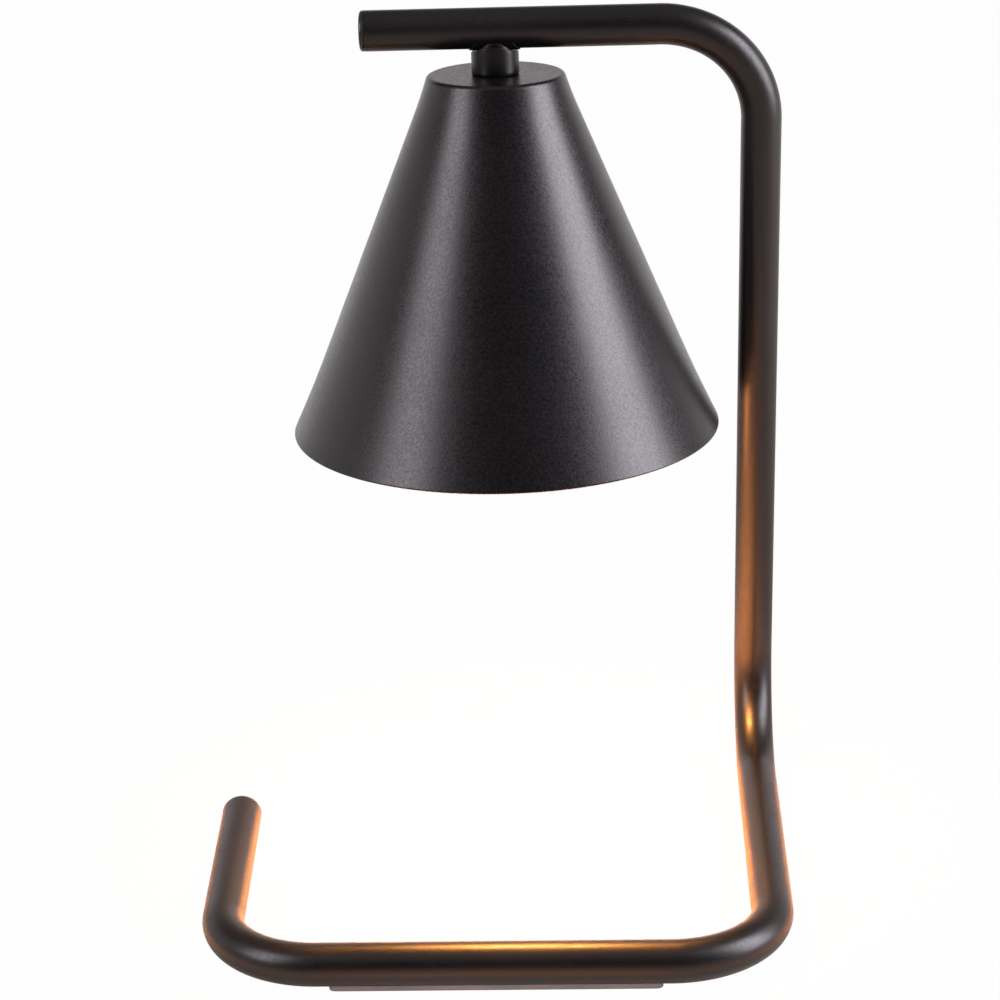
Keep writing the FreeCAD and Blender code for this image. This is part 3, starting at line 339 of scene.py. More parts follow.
table_finish = bpy.data.materials.new("table_with_painted_pool")
table_finish.use_nodes = True
table = table_finish.node_tree
table.nodes.clear()
place = object_place(table)
from_lamp = add_node(table, "VectorMath")
from_lamp.operation = "DISTANCE"
feed_pair(table, from_lamp, place, lamp_axis)
# Painted pool of light: near the lamp's axis the table takes the pale colour, farther out the
# darker one.
outside_painted_pool = remap(table, from_lamp.outputs["Value"], *PAINTED_POOL_EDGE, 0.0, 1.0, smooth=True)
matt = add_node(table, "BsdfDiffuse", Color=mix_colour(table, outside_painted_pool, PAINTED_POOL_COLOUR, OUTSIDE_POOL_COLOUR))
glossy = add_node(table, "LightPath").outputs["Is Glossy Ray"]
far = remap(table, split(table, place)["Y"], *FAR_SPAN, 0.0, FAR_SHEEN, smooth=True)
plain = combine(table, "MAXIMUM", combine(table, "MULTIPLY", straight_rays(table), FLOOR_WHITE),
                combine(table, "MULTIPLY", far, glossy))
white = add_node(table, "Emission", Color=WHITE, Strength=1.0)
top = mix_shader(table, plain, matt.outputs["BSDF"], white.outputs["Emission"])
near = combine(table, "MULTIPLY", glossy, NEAR_SHEEN)
sheen = add_node(table, "Emission", Color=SHEEN_COLOUR, Strength=near)
lit = feed_pair(table, add_node(table, "AddShader"), top, sheen.outputs["Emission"])
below = add_node(table, "NewGeometry").outputs["Backfacing"]
clear = add_node(table, "BsdfTransparent").outputs["BSDF"]
add_node(table, "OutputMaterial", Surface=mix_shader(table, below, lit, clear))
print("table nodes:", len(table.nodes))

# %% Floor
FLOOR_HALF = 2.5
FLOOR_DROP = 0.1 * MM

floor_corners = np.array([(-1, -1), (1, -1), (1, 1), (-1, 1)]) * FLOOR_HALF
floor_mesh = bpy.data.meshes.new("floor")
floor_mesh.from_pydata([(x, y, -FLOOR_DROP) for x, y in floor_corners], [], [(0, 1, 2, 3)])
floor = bpy.data.objects.new("floor", floor_mesh)
bpy.context.scene.collection.objects.link(floor)
floor.data.materials.append(table_finish)
print("floor is", 2 * FLOOR_HALF, "m wide")

# %% [markdown]
# ## Shared surface effects
#
# Three effects come back in many finishes, so each is a node group with named inputs, built once:
# the soft unevenness of a baked powder coat, loose dust, and a slow change of tone from handling.
# They read Object coordinates, so a pattern stays fixed to its piece and keeps its real size. Each
# puts out only what changes over the surface. The shader stays in the material.

# %% Helpers that start and place a node group
def new_group(name, outputs, **inputs):
    """An empty shader node group with named float outputs, and float inputs with defaults."""
    group = bpy.data.node_groups.new(name, "ShaderNodeTree")
    for label, default in inputs.items():
        socket = group.interface.new_socket(label.replace("_", " "), in_out="INPUT",
                                            socket_type="NodeSocketFloat")
        socket.default_value = default
    for label in outputs:
        group.interface.new_socket(label, in_out="OUTPUT", socket_type="NodeSocketFloat")
    given = group.nodes.new("NodeGroupInput").outputs
    return group, given, group.nodes.new("NodeGroupOutput").inputs


def place_group(tree, group, **values):
    """Put a shared group in a material, set its named inputs and give back its outputs."""
    node = add_node(tree, "Group")
    node.node_tree = group
    for label, value in values.items():
        feed(tree, node.inputs[label.replace("_", " ")], value)
    return node.outputs


# %% Group: coat grain
# Two noises added: a coarse one for the coat's flow, a fine one for its powder.
coat_grain, given, result = new_group("coat_grain", ["Height", "Tone"], Flow_Scale=260.0,
                                      Powder_Scale=1500.0, Powder_Share=0.5)
place = object_place(coat_grain)
flow, powder = (add_node(coat_grain, "TexNoise", Vector=place, Scale=given[scale], Detail=2.0)
                .outputs["Fac"] for scale in ("Flow Scale", "Powder Scale"))
share = combine(coat_grain, "MULTIPLY", powder, given["Powder Share"])
feed(coat_grain, result["Height"], combine(coat_grain, "ADD", flow, share))
feed(coat_grain, result["Tone"], powder)

# %% Group: dust
# Specks: places within a small distance of a Voronoi cell's centre, in a share of cells.
dust, given, result = new_group("dust", ["Mask"], Scale=70.0, Speck=0.018, Share=0.3)
cells = add_node(dust, "TexVoronoi", Vector=object_place(dust), Scale=given["Scale"]).outputs
near = combine(dust, "LESS_THAN", cells["Distance"], given["Speck"])
chosen = combine(dust, "LESS_THAN", split(dust, cells["Color"])["X"], given["Share"])
feed(dust, result["Mask"], combine(dust, "MULTIPLY", near, chosen))

# %% Group: slow tone
# One soft noise, stretched from the range that a noise really has to the full range.
NOISE_RANGE = (0.3, 0.7)
FULL_RANGE = (0.0, 1.0)

slow_tone, given, result = new_group("slow_tone", ["Tone"], Scale=18.0)
noise = add_node(slow_tone, "TexNoise", Vector=object_place(slow_tone), Scale=given["Scale"],
                 Detail=3.0)
feed(slow_tone, result["Tone"], remap(slow_tone, noise.outputs["Fac"], *NOISE_RANGE, *FULL_RANGE))
print("groups:", [group.name for group in bpy.data.node_groups])

# %% [markdown]
# ## Finishes
#
# A finish starts as a Principled shader with its constant numbers on its own sockets. The groups
# are then wired to what varies: tone to the colour, grain to the height of a bump, either of them
# to the roughness. So each finish takes a few lines, and one can read what sets it apart.

# %% Helpers for finishes
def new_finish(name, colour, roughness, **constants):
    """A Principled material; constants are set on the shader's own sockets by their names."""
    material = bpy.data.materials.new(name)
    material.use_nodes = True
    tree = material.node_tree
    inputs = tree.nodes["Principled BSDF"].inputs
    for label, value in {"Base_Color": colour, "Roughness": roughness, **constants}.items():
        feed(tree, inputs[label.replace("_", " ")], value)
    return material, tree, inputs


def raise_grain(tree, inputs, bump, flow, powder, share):
    """Coat grain as the height of a bump, in metres; gives back the grain's tone."""
    grain = place_group(tree, coat_grain, Flow_Scale=flow, Powder_Scale=powder, Powder_Share=share)
    bumped = add_node(tree, "Bump", Distance=bump, Height=grain["Height"])
    feed(tree, inputs["Normal"], bumped.outputs["Normal"])
    return grain["Tone"]


def lay_specks(tree, colour, speck_colour, scale, speck, share):
    """A colour with specks of another."""
    mask = place_group(tree, dust, Scale=scale, Speck=speck, Share=share)["Mask"]
    return mix_colour(tree, mask, colour, speck_colour)


def opaque(name, colours, roughness, swing, tone_scale, grain, bump, specks=None, cloudy=False,
           handled=0.0, **constants):
    """Slow tone between two colours, grain as height, and a roughness that swings both ways.

    A cloudy finish takes its roughness from the tone, any other from the grain; there the tone
    can add a share for handling.
    """
    material, tree, inputs = new_finish(name, colours[0], roughness, **constants)
    tone = place_group(tree, slow_tone, Scale=tone_scale)["Tone"]
    colour = mix_colour(tree, tone, *colours)
    feed(tree, inputs["Base Color"], lay_specks(tree, colour, *specks) if specks else colour)
    powder = raise_grain(tree, inputs, bump, *grain)
    source, span = (tone, FULL_RANGE) if cloudy else (powder, NOISE_RANGE)
    rough = remap(tree, source, *span, roughness - swing, roughness + swing)
    if handled:
        rough = combine(tree, "ADD", rough, remap(tree, tone, *FULL_RANGE, -handled, handled))
    feed(tree, inputs["Roughness"], rough)
    return material


def times(colour, factor):
    """A colour made deeper or paler."""
    return tuple(channel * factor for channel in colour)


# %% [markdown]
# ### Powder coat
#
# Tube, neck and shade wear a black powder coat. The powder melts into a skin that is smooth to the
# finger but not to the light: a fine unevenness breaks up the reflections, and pinhead specks of
# lint sit on it. Scale is what sells it: the grain is a millimetre or two wide and a few
# hundredths of one high.

# %% Finish: powder coat
LINT = (0.42, 0.40, 0.38)


def powder_coat(name, colour, roughness, bump, dust_share, **constants):
    """Satin coat: slow tone in colour and roughness, coat grain as height, dust on top."""
    return opaque(name, (times(colour, 0.75), colour), roughness, swing=0.06, handled=0.03,
                  tone_scale=22.0, grain=(450.0, 1300.0, 1.0), bump=bump,
                  specks=(LINT, 75.0, 0.016, dust_share), **constants)


tube_coat = powder_coat("tube_powder_coat", (0.0030, 0.0023, 0.0021), 0.38, 0.012 * MM, 0.5)
shade_coat = powder_coat("shade_powder_coat", (0.0028, 0.0023, 0.0029), 0.35, 0.019 * MM, 0.25)
neck_coat = powder_coat("neck_gloss_coat", (0.003, 0.003, 0.0034), 0.33, 0.003 * MM, 0.2,
                        Specular_IOR_Level=0.32)
print("coats:", tube_coat.name, shade_coat.name, neck_coat.name)

# %% [markdown]
# ### Plastic and rubber
#
# The arm's plug and the cord bush are moulded in black plastic, the plug a little glossier than the
# coat and the bush a little duller. The feet are grey rubber and the gasket is black rubber, matt
# and never quite even. The leads' skin is a soft plastic and is made the same way.

# %% Finish: moulded plastic and rubber
def moulded(name, colour, roughness, powder, bump, **constants):
    """Plastic or rubber: fine grain as height, slow tone in the colour."""
    return opaque(name, (colour, times(colour, 1.45)), roughness, swing=0.06, tone_scale=60.0,
                  grain=(powder / 4, powder, 0.5), bump=bump, **constants)


cap_plastic = moulded("cap_plastic", (0.012, 0.012, 0.013), 0.28, 1800.0, 0.006 * MM)
bush_plastic = moulded("bush_plastic", (0.016, 0.016, 0.016), 0.42, 1600.0, 0.010 * MM)
foot_rubber = moulded("foot_rubber", (0.30, 0.295, 0.29), 0.80, 2200.0, 0.030 * MM)
gasket_rubber = moulded("gasket_rubber", (0.003, 0.003, 0.003), 0.75, 2000.0, 0.020 * MM,
                        Specular_IOR_Level=0.15)
lead_brown = moulded("brown_insulation", (0.16, 0.065, 0.03), 0.45, 2400.0, 0.010 * MM)
lead_blue = moulded("blue_insulation", (0.03, 0.11, 0.42), 0.45, 2400.0, 0.010 * MM)
print("feet are", foot_rubber.name, "and the gasket is", gasket_rubber.name)

# %% [markdown]
# ### Stripe of the earth lead
#
# Brown is live, blue is neutral, and green with yellow is earth. The earth lead's second colour
# is a stripe along the wire. The visible stretch hangs near the lamp's axis, so planes across
# it are enough to lay the stripe.

# %% Finish: striped insulation
# Green skin, and yellow where a diagonal wave of the place is past its middle.
STRIPE_SCALE = 130.0
STRIPE_START = 0.55
YELLOW = (0.72, 0.60, 0.05)

lead_striped, tree, inputs = new_finish("green_yellow_insulation", (0.05, 0.28, 0.05), 0.45)
wave = add_node(tree, "TexWave", Vector=object_place(tree), Scale=STRIPE_SCALE)
wave.bands_direction = "DIAGONAL"
stripe = combine(tree, "GREATER_THAN", wave.outputs["Fac"], STRIPE_START)
tone = place_group(tree, slow_tone, Scale=60.0)["Tone"]
green = mix_colour(tree, tone, (0.05, 0.24, 0.05), (0.07, 0.32, 0.06))
feed(tree, inputs["Base Color"], mix_colour(tree, stripe, green, YELLOW))
print("earth lead is", lead_striped.name)

# %% [markdown]
# ### Metals of the hardware
#
# Strap, washer, nipple and screws are zinc-plated steel, the tag is tinned brass, the nut is
# turned brass, the contacts are bronze and the bulb's pins are nickel-plated. Plated metal is
# shiny with cloudy patches, so the same tone that shifts its colour also shifts its roughness.
# The filament is tungsten and glows.

# %% Finish: bright metal
def bright_metal(name, colour, roughness, tint, **constants):
    """Metal: cloudy tone between two colours and two roughnesses, light grain as height."""
    return opaque(name, (colour, tint), roughness, swing=0.08, cloudy=True, tone_scale=140.0,
                  grain=(600.0, 3000.0, 0.4), bump=0.008 * MM, Metallic=1.0, **constants)


zinc = bright_metal("zinc_plate", (0.60, 0.61, 0.62), 0.34, (0.50, 0.50, 0.47))
nickel = bright_metal("nickel_plate", (0.66, 0.64, 0.60), 0.22, (0.56, 0.54, 0.50))
tinned_brass = bright_metal("tinned_brass", (0.68, 0.66, 0.58), 0.30, (0.62, 0.52, 0.34))
turned_brass = bright_metal("turned_brass", (0.70, 0.50, 0.22), 0.26, (0.58, 0.40, 0.18))
bronze = bright_metal("spring_bronze", (0.70, 0.40, 0.20), 0.30, (0.56, 0.32, 0.16))
tungsten = bright_metal("tungsten", (0.45, 0.43, 0.40), 0.40, (0.36, 0.34, 0.32),
                        Emission_Color=(1.0, 0.55, 0.22), Emission_Strength=12.0)
print("strap and washer are", zinc.name)

# %% [markdown]
# ### Ceramic
#
# The lampholder is unglazed steatite: chalky, off-white, with small brown flecks. The bulb's base
# is the same clay with a glaze, so it is one finish with two sets of values.

# %% Finish: ceramic
FLECK = (0.36, 0.27, 0.18)


def ceramic(name, colour, roughness, bump, fleck_share):
    """Fired clay: slow tone in the colour, brown flecks, and a fine grain as height."""
    return opaque(name, (times(colour, 0.90), colour), roughness, swing=0.05, tone_scale=90.0,
                  grain=(500.0, 2600.0, 0.7), bump=bump, specks=(FLECK, 420.0, 0.10, fleck_share))


steatite = ceramic("steatite", (0.80, 0.78, 0.72), 0.75, 0.030 * MM, 0.12)
glazed = ceramic("glazed_ceramic", (0.84, 0.82, 0.77), 0.18, 0.006 * MM, 0.03)
print("lampholder is", steatite.name, "and the bulb's base is", glazed.name)

# %% [markdown]
# ### Glass of the bulb
#
# The front glass and the quartz capsule are clear, so they keep a plain Transmission Weight and
# only their roughness and bump vary. The reflector is glass too, but a dichroic coat makes it a
# mirror, so it is a thin bright metal with a warm tint. All three get a faint painted glow, a warm
# emission that stands for the lit bulb's light shining through them and off them.

# %% Finish: glass and mirror coat
def clear_glass(name, tint, roughness, glow):
    """Transmissive glass with a faint unevenness and a warm painted glow."""
    # Painted glow: a warm emission that stands for the bulb's light in the glass.
    material, tree, inputs = new_finish(name, tint, roughness, Transmission_Weight=1.0, IOR=1.5,
                                        Emission_Color=(1.0, 0.62, 0.30), Emission_Strength=glow)
    tone = place_group(tree, slow_tone, Scale=70.0)["Tone"]
    feed(tree, inputs["Roughness"], remap(tree, tone, *FULL_RANGE, roughness, roughness + 0.05))
    raise_grain(tree, inputs, 0.020 * MM, 160.0, 700.0, 0.3)
    return material


front_glass_finish = clear_glass("front_glass", (1.0, 0.95, 0.88), 0.08, 0.9)
quartz = clear_glass("quartz", (0.98, 0.98, 0.97), 0.03, 1.5)
# The mirror coat gets a faint painted glow as well.
mirror_coat = bright_metal("dichroic_mirror", (0.86, 0.80, 0.70), 0.16, (0.78, 0.62, 0.44),
                           Emission_Color=(1.0, 0.50, 0.18), Emission_Strength=0.12)
print("finishes:", len(bpy.data.materials))

# %% [markdown]
# ## Meshes from grids
#
# Every piece made below is a surface of two parameters. Its points are worked out as one numpy
# array with rows and columns, and the faces are the quads between neighbours. The columns run
# round, and the rows mostly close too, from the outside over the rim and back through the inside.
# One helper makes the mesh, merges the points that fall together at poles, and turns the faces
# outwards. Another seats the finished piece in place of its CAD node.

# %% From grid to piece
MERGE_DISTANCE = 1e-7


def full_circle(columns):
    """Angles evenly round a circle, as one row of a grid."""
    return np.linspace(0, 2 * np.pi, columns, endpoint=False)[None, :]


def around(radius, angle, height):
    """Points about an upright axis: x = r cos a, y = r sin a, z = height."""
    parts = np.broadcast_arrays(radius * np.cos(angle), radius * np.sin(angle), height)
    return np.stack(parts, axis=-1)


def grid_faces(rows, columns, close_rows=True):
    """Quads between neighbouring points of a grid that is counted row by row."""
    row = np.arange(rows if close_rows else rows - 1)[:, None] * columns
    column = np.arange(columns)[None, :]
    next_row = (row + columns) % (rows * columns)
    next_column = (column + 1) % columns
    quads = [row + column, row + next_column, next_row + next_column, next_row + column]
    return np.stack(quads, axis=-1).reshape(-1, 4)


def make_piece(name, points, material, crease=40, faces=None):
    """A mesh object at the origin; edges sharper than crease degrees stay sharp.

    Without faces of its own, the grid of points closes both ways.
    """
    if faces is None:
        faces = grid_faces(*points.shape[:2])
    mesh = bpy.data.meshes.new(name)
    mesh.from_pydata(points.reshape(-1, 3).tolist(), [], faces.tolist())
    shell = bmesh.new()
    shell.from_mesh(mesh)
    bmesh.ops.remove_doubles(shell, verts=shell.verts, dist=MERGE_DISTANCE)
    bmesh.ops.recalc_face_normals(shell, faces=shell.faces)
    shell.to_mesh(mesh)
    shell.free()
    mesh.polygons.foreach_set("use_smooth", np.ones(len(mesh.polygons), bool))
    mesh.set_sharp_from_angle(angle=np.radians(crease))
    mesh.materials.append(material)
    piece = bpy.data.objects.new(name, mesh)
    bpy.context.scene.collection.objects.link(piece)
    return piece


def stands_for(piece, body, slot, *nodes):
    """Seat a finished piece: it rides on a body and replaces its CAD nodes."""
    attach(piece, body)
    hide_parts(*nodes)
    places = np.array([corner.co for corner in piece.data.vertices])
    cad = np.array([np.min([low(node) for node in nodes], 0),
                    np.max([high(node) for node in nodes], 0)])
    gap = np.abs(np.array([places.min(0), places.max(0)]) - cad).max() / MM
    faces = len(piece.data.polygons)
    print(f"{piece.name}: {faces} faces, its box is within {gap:.2f} mm of the CAD's")


# %% Outlines with rounded corners, and the lathe
def outline(corners, steps=8):
    """Closed outline through (radius, height, rounding) corners, in metres.

    At a corner with a rounding the line leaves a distance of rounding / tan(half angle) early and
    follows an arc; its points are the blend of the arc's two end directions by their angle.
    """
    places = np.array([corner[:2] for corner in corners], float)
    pieces = []
    for index, corner in enumerate(corners):
        rounding = corner[2] if len(corner) == 3 else 0
        here = places[index]
        if not rounding:
            pieces.append(here[None, :])
            continue
        back = places[index - 1] - here
        ahead = places[(index + 1) % len(corners)] - here
        back, ahead = back / np.linalg.norm(back), ahead / np.linalg.norm(ahead)
        half = np.arccos(np.clip(back @ ahead, -1, 1)) / 2
        centre = here + (back + ahead) / np.linalg.norm(back + ahead) * rounding / np.sin(half)
        first = here + back * rounding / np.tan(half) - centre
        last = here + ahead * rounding / np.tan(half) - centre
        turn = np.pi - 2 * half
        share = np.linspace(0, 1, steps + 1)[:, None]
        arc = (np.sin((1 - share) * turn) * first + np.sin(share * turn) * last) / np.sin(turn)
        pieces.append(centre + arc)
    return np.concatenate(pieces)


def fine(profile, near, step):
    """Add points on a closed outline's long straight stretches, close to their ends and between.

    They keep the smooth shading of a rounding from spreading over the flat beside it.
    """
    stretches = []
    for here, ahead in zip(profile, np.roll(profile, -1, 0)):
        length = np.linalg.norm(ahead - here)
        share = np.array([0.0])
        if length > 3 * near:
            inner = np.linspace(near, length - near, max(2, int(length / step) + 1)) / length
            share = np.append(share, inner)
        stretches.append(here + (ahead - here) * share[:, None])
    return np.concatenate(stretches)


def lathe(profile, centre, columns=128):
    """Turn an outline about an upright axis through a centre."""
    return around(profile[:, :1], full_circle(columns), profile[:, 1:]) + centre


def aimed(points, direction, place):
    """Turn points made about +Z so that Z lies along a level direction, then move them."""
    ahead = np.array(direction) / np.linalg.norm(direction)
    side = np.array([-ahead[1], ahead[0], 0.0])
    lift = np.cross(ahead, side)
    return points @ np.array([side, lift, ahead]) + place


# %% [markdown]
# ## The bent tube
#
# The frame is one tube with four bends of the same radius. Its centre line is straight runs joined
# by arcs, and a circle carried along it makes the wall. So that it doesn't twist, the circle's two
# axes are turned with the arc by Rodrigues' rule and left alone on the runs. A real bend is not
# perfect: its outer side goes a little flat, and the bending tool's clamp leaves a shallow dent
# inside at both of its ends. Both are a change of the radius, so they cost nothing here and catch
# the light as they do on the real tube.

# %% Centre line of the tube
rail_middle = middle("rail_foot_strip")
rail_height = middle("cord_bush")[2]
right_corner = np.array([middle("right_leg_pad")[0], rail_middle[1], rail_height])
left_corner = np.array([2 * rail_middle[0] - right_corner[0], rail_middle[1], rail_height])
leg_direction = np.array([-np.sin(LEG_SPLAY), np.cos(LEG_SPLAY), 0])
leg_end = left_corner + leg_direction * (LEG_LENGTH - HEAD_LENGTH)
arm_middle = middle("arm_end_cap")
arm_level = arm_middle[2]
rise = arm_level - rail_height
post_top = np.array([right_corner[0] + np.tan(LEAN_OUT) * rise, arm_middle[1], arm_level])
post_foot = np.array([right_corner[0], post_top[1] + np.tan(LEAN_FORWARD) * rise, rail_height])
arm_end = np.array([low("arm_end_cap")[0] + HEAD_LENGTH, arm_middle[1], arm_level])
frame_corners = np.array([leg_end, left_corner, right_corner, post_foot, post_top, arm_end])
print("corners in mm:\n", np.round(frame_corners / MM, 2))

# %% Carrying a circle's axes along runs and arcs
def turned(vectors, axis, angle):
    """Rodrigues' rule, v cos a + (k x v) sin a + k (k . v)(1 - cos a), for each angle."""
    cosine, sine = np.cos(angle)[:, None, None], np.sin(angle)[:, None, None]
    along = (vectors @ axis)[:, None] * axis
    return vectors * cosine + np.cross(axis, vectors) * sine + along * (1 - cosine)


def bent_line(corners, bend_radius, run_step, arc_step):
    """Centre line of a bent tube: places, the circle's two axes, distances, and the bends.

    Each bend is given as (distance of its start, distance of its end, direction to its centre).
    """
    runs = np.diff(corners, axis=0)
    runs /= np.linalg.norm(runs, axis=1)[:, None]
    side = np.cross(runs[0], [0, 0, 1.0])
    axes = np.array([side, np.cross(runs[0], side)])
    start, travelled = corners[0], 0.0
    places, turns, distances, bends = [], [], [], []
    for index, run in enumerate(runs):
        last = index == len(runs) - 1
        turn = 0.0 if last else np.arccos(np.clip(run @ runs[index + 1], -1, 1))
        stop = corners[index + 1] - run * bend_radius * np.tan(turn / 2)
        length = np.linalg.norm(stop - start)
        along = np.linspace(0, length, max(2, int(length / run_step)), endpoint=last)
        places.append(start + run * along[:, None])
        turns.append(np.repeat(axes[None], len(along), 0))
        distances.append(travelled + along)
        travelled += length
        if last:
            break
        axis = np.cross(run, runs[index + 1])
        axis /= np.linalg.norm(axis)
        inward = np.cross(axis, run)
        angle = np.linspace(0, turn, int(turn * bend_radius / arc_step) + 1)
        swung = turned(np.array([*axes, inward]), axis, angle)
        arc = stop + (inward - swung[:, 2]) * bend_radius
        places.append(arc[:-1])
        turns.append(swung[:-1, :2])
        distances.append(travelled + angle[:-1] * bend_radius)
        halfway = turned(inward[None], axis, np.array([turn / 2]))[0, 0]
        bends.append((travelled, travelled + turn * bend_radius, halfway))
        start, axes = arc[-1], swung[-1, :2]
        travelled += turn * bend_radius
    return *(np.concatenate(part) for part in (places, turns, distances)), bends


def spokes(axes, columns):
    """For each pair of axes, the directions all round in their plane."""
    angle = full_circle(columns)[..., None]
    return axes[:, None, 0] * np.cos(angle) + axes[:, None, 1] * np.sin(angle)


# %% The tube's wall
TUBE_COLUMNS = 72
RUN_STEP = 2.5 * MM
ARC_STEP = 0.9 * MM
FLATTENING = 0.020
FLATTENING_ENDS = 8 * MM
DENT_DEPTH = 0.16 * MM
DENT_LENGTH = 1.6 * MM
DENT_FACING = 0.35

# Radius = R (1 - flattening on the bend's outside) - dents at the bend's ends inside.
places, axes, distance, bends = bent_line(frame_corners, BEND_RADIUS, RUN_STEP, ARC_STEP)
outwards = spokes(axes, TUBE_COLUMNS)
radius = np.full(outwards.shape[:2], tube_radius)
for begin, end, inward in bends:
    facing = outwards @ inward
    within = (np.clip((distance - begin) / FLATTENING_ENDS, 0, 1)
              * np.clip((end - distance) / FLATTENING_ENDS, 0, 1))[:, None]
    radius -= tube_radius * FLATTENING * within * np.clip(-facing, 0, 1) ** 2
    pinched = np.clip((facing - DENT_FACING) / (1 - DENT_FACING), 0, 1) ** 2
    for clamp in (begin, end):
        near = np.exp(-((distance - clamp) / DENT_LENGTH) ** 2)[:, None]
        radius -= DENT_DEPTH * near * pinched
outer = places[:, None, :] + outwards * radius[:, :, None]
inner = places[:, None, :] + outwards * (tube_radius - TUBE_WALL)
points = np.concatenate([outer, inner[::-1]])
bent_tube = make_piece("bent_frame_tube", points, tube_coat, crease=50)

# %% [markdown]
# The nipple stands in a hole in the arm's underside. A grid can't have a hole in the middle, so
# this one is cut with a Boolean modifier and a lathed cutter, which is deleted afterwards.

# %% Cut the hole for the nipple
HOLE_RADIUS = 4.05 * MM


def cut_hole(piece, centre, radius, height):
    """Subtract a lathed rod from a piece and keep the result as its mesh."""
    rod = outline([(0, 0), (radius, 0), (radius, height), (0, height)])
    cutter = make_piece("hole_cutter", lathe(rod, centre, 48), tube_coat)
    modifier = piece.modifiers.new("nipple_hole", "BOOLEAN")
    modifier.operation = "DIFFERENCE"
    modifier.object = cutter
    depsgraph = bpy.context.evaluated_depsgraph_get()
    result = bpy.data.meshes.new_from_object(piece.evaluated_get(depsgraph))
    piece.modifiers.clear()
    piece.data = result
    bpy.data.objects.remove(cutter)


inside_bottom = arm_level - tube_radius - TUBE_WALL
cut_hole(bent_tube, lamp_axis + [0, 0, inside_bottom], HOLE_RADIUS, tube_radius)
stands_for(bent_tube, "lamp", "black_tube", "frame_tube")

# %% [markdown]
# ## Plugs in the tube's two ends
#
# The arm's cap has a round head of the tube's own diameter with a softly rounded edge, which
# catches a thin highlight. The leg's bush is the same shape with a bore for the cord, whose mouth
# is rounded so that it doesn't chafe. Both are outlines turned on a lathe and then aimed along
# the tube. A hairline groove parts head and tube.

# %% Arm cap and cord bush
HEAD_ROUND = 0.9 * MM
CAP_STEM = 10 * MM
BUSH_STEM = 12 * MM
STEM_ROUND = 0.8 * MM
STEM_PLAY = 0.05 * MM
CORD_RADIUS = 3.2 * MM
MOUTH_ROUND = 0.5 * MM
SEAT_GROOVE = 0.25 * MM
stem_radius = tube_radius - TUBE_WALL - STEM_PLAY


def make_plug(name, mouth, stem, direction, place, material):
    """Head and stem turned from the mouth's corner, which lies on the axis if there is no bore."""
    profile = outline([
        mouth, (mouth[0], -stem), (stem_radius, -stem, STEM_ROUND), (stem_radius, 0),
        (tube_radius - SEAT_GROOVE, 0), (tube_radius, SEAT_GROOVE),
        (tube_radius, HEAD_LENGTH, HEAD_ROUND)])
    points = lathe(profile, (0, 0, 0), 96)
    return make_piece(name, aimed(points, direction, place), material)


arm_cap = make_plug("arm_cap", (0, HEAD_LENGTH), CAP_STEM, (-1, 0, 0), arm_end, cap_plastic)
stands_for(arm_cap, "lamp", "black_plastic", "arm_end_cap")
leg_bush = make_plug("leg_bush", (CORD_RADIUS, HEAD_LENGTH, MOUTH_ROUND), BUSH_STEM, leg_direction,
                     leg_end, bush_plastic)
stands_for(leg_bush, "lamp", "bush_plastic", "cord_bush")

# %% [markdown]
# ## Feet
#
# The tube stands on three strips of grey rubber, hollowed to the tube's round above and flat
# below. Extruded strip has fine grooves along its sole, and its cut ends are slightly rounded,
# so the cross-section is carried along the strip and drawn in over its last two millimetres.

# %% Rubber strips
STRIP_WIDTH = 7 * MM
RAIL_STRIP = 98 * MM
LEG_STRIP = 30 * MM
GROOVES = 5
GROOVE_DEPTH = 0.25 * MM
SOLE_EDGE = 0.4 * MM
END_ROUND = 2 * MM
END_STEPS = (0.0, 0.0, 0.1, 0.25, 0.5, 1.0)


def foot_section(width, seat_height):
    """Across and up: grooved sole, straight sides, and a seat on the tube's underside."""
    half = width / 2
    sole = np.linspace(SOLE_EDGE - half, half - SOLE_EDGE, 37)
    grooves = GROOVE_DEPTH * np.clip(np.cos(sole / width * 2 * np.pi * GROOVES), 0, 1) ** 2
    seat = np.linspace(half, -half, 17)
    drop = np.sqrt(tube_radius ** 2 - half ** 2)
    hollow = seat_height + drop - np.sqrt(tube_radius ** 2 - seat ** 2)
    return (np.concatenate([sole, [half], seat, [-half]]),
            np.concatenate([grooves, [SOLE_EDGE], hollow, [SOLE_EDGE]]))


def make_strip(name, node, direction, length):
    """The section carried along a level direction, with its ends drawn in and closed."""
    across, up = foot_section(STRIP_WIDTH, high(node)[2])
    ends = END_ROUND * np.array(END_STEPS)
    between = np.linspace(2 * END_ROUND, length - 2 * END_ROUND, 12)
    along = np.concatenate([ends, between, length - ends[::-1]])[:, None]
    nearest = np.clip(np.minimum(along, length - along) / END_ROUND, 0, 1)
    pinch = END_ROUND * (1 - np.sqrt(1 - (1 - nearest) ** 2))
    across = across * (1 - pinch / (STRIP_WIDTH / 2))
    up = np.repeat(up[None, :], len(along), 0)
    across[[0, -1]] = 0
    up[[0, -1]] = high(node)[2] / 4
    ahead = np.array(direction)
    side = np.array([ahead[1], -ahead[0], 0])
    points = (middle(node) * [1, 1, 0] + ahead * (along[..., None] - length / 2)
              + side * across[..., None] + np.array([0, 0, 1]) * up[..., None])
    faces = grid_faces(*points.shape[:2], close_rows=False)
    piece = make_piece(name, points, foot_rubber, crease=35, faces=faces)
    stands_for(piece, "lamp", "foot_rubber", node)


make_strip("rail_sole", "rail_foot_strip", (1, 0, 0), RAIL_STRIP)
make_strip("left_sole", "left_leg_pad", leg_direction, LEG_STRIP)
make_strip("right_sole", "right_leg_pad", (0, 1, 0), LEG_STRIP)

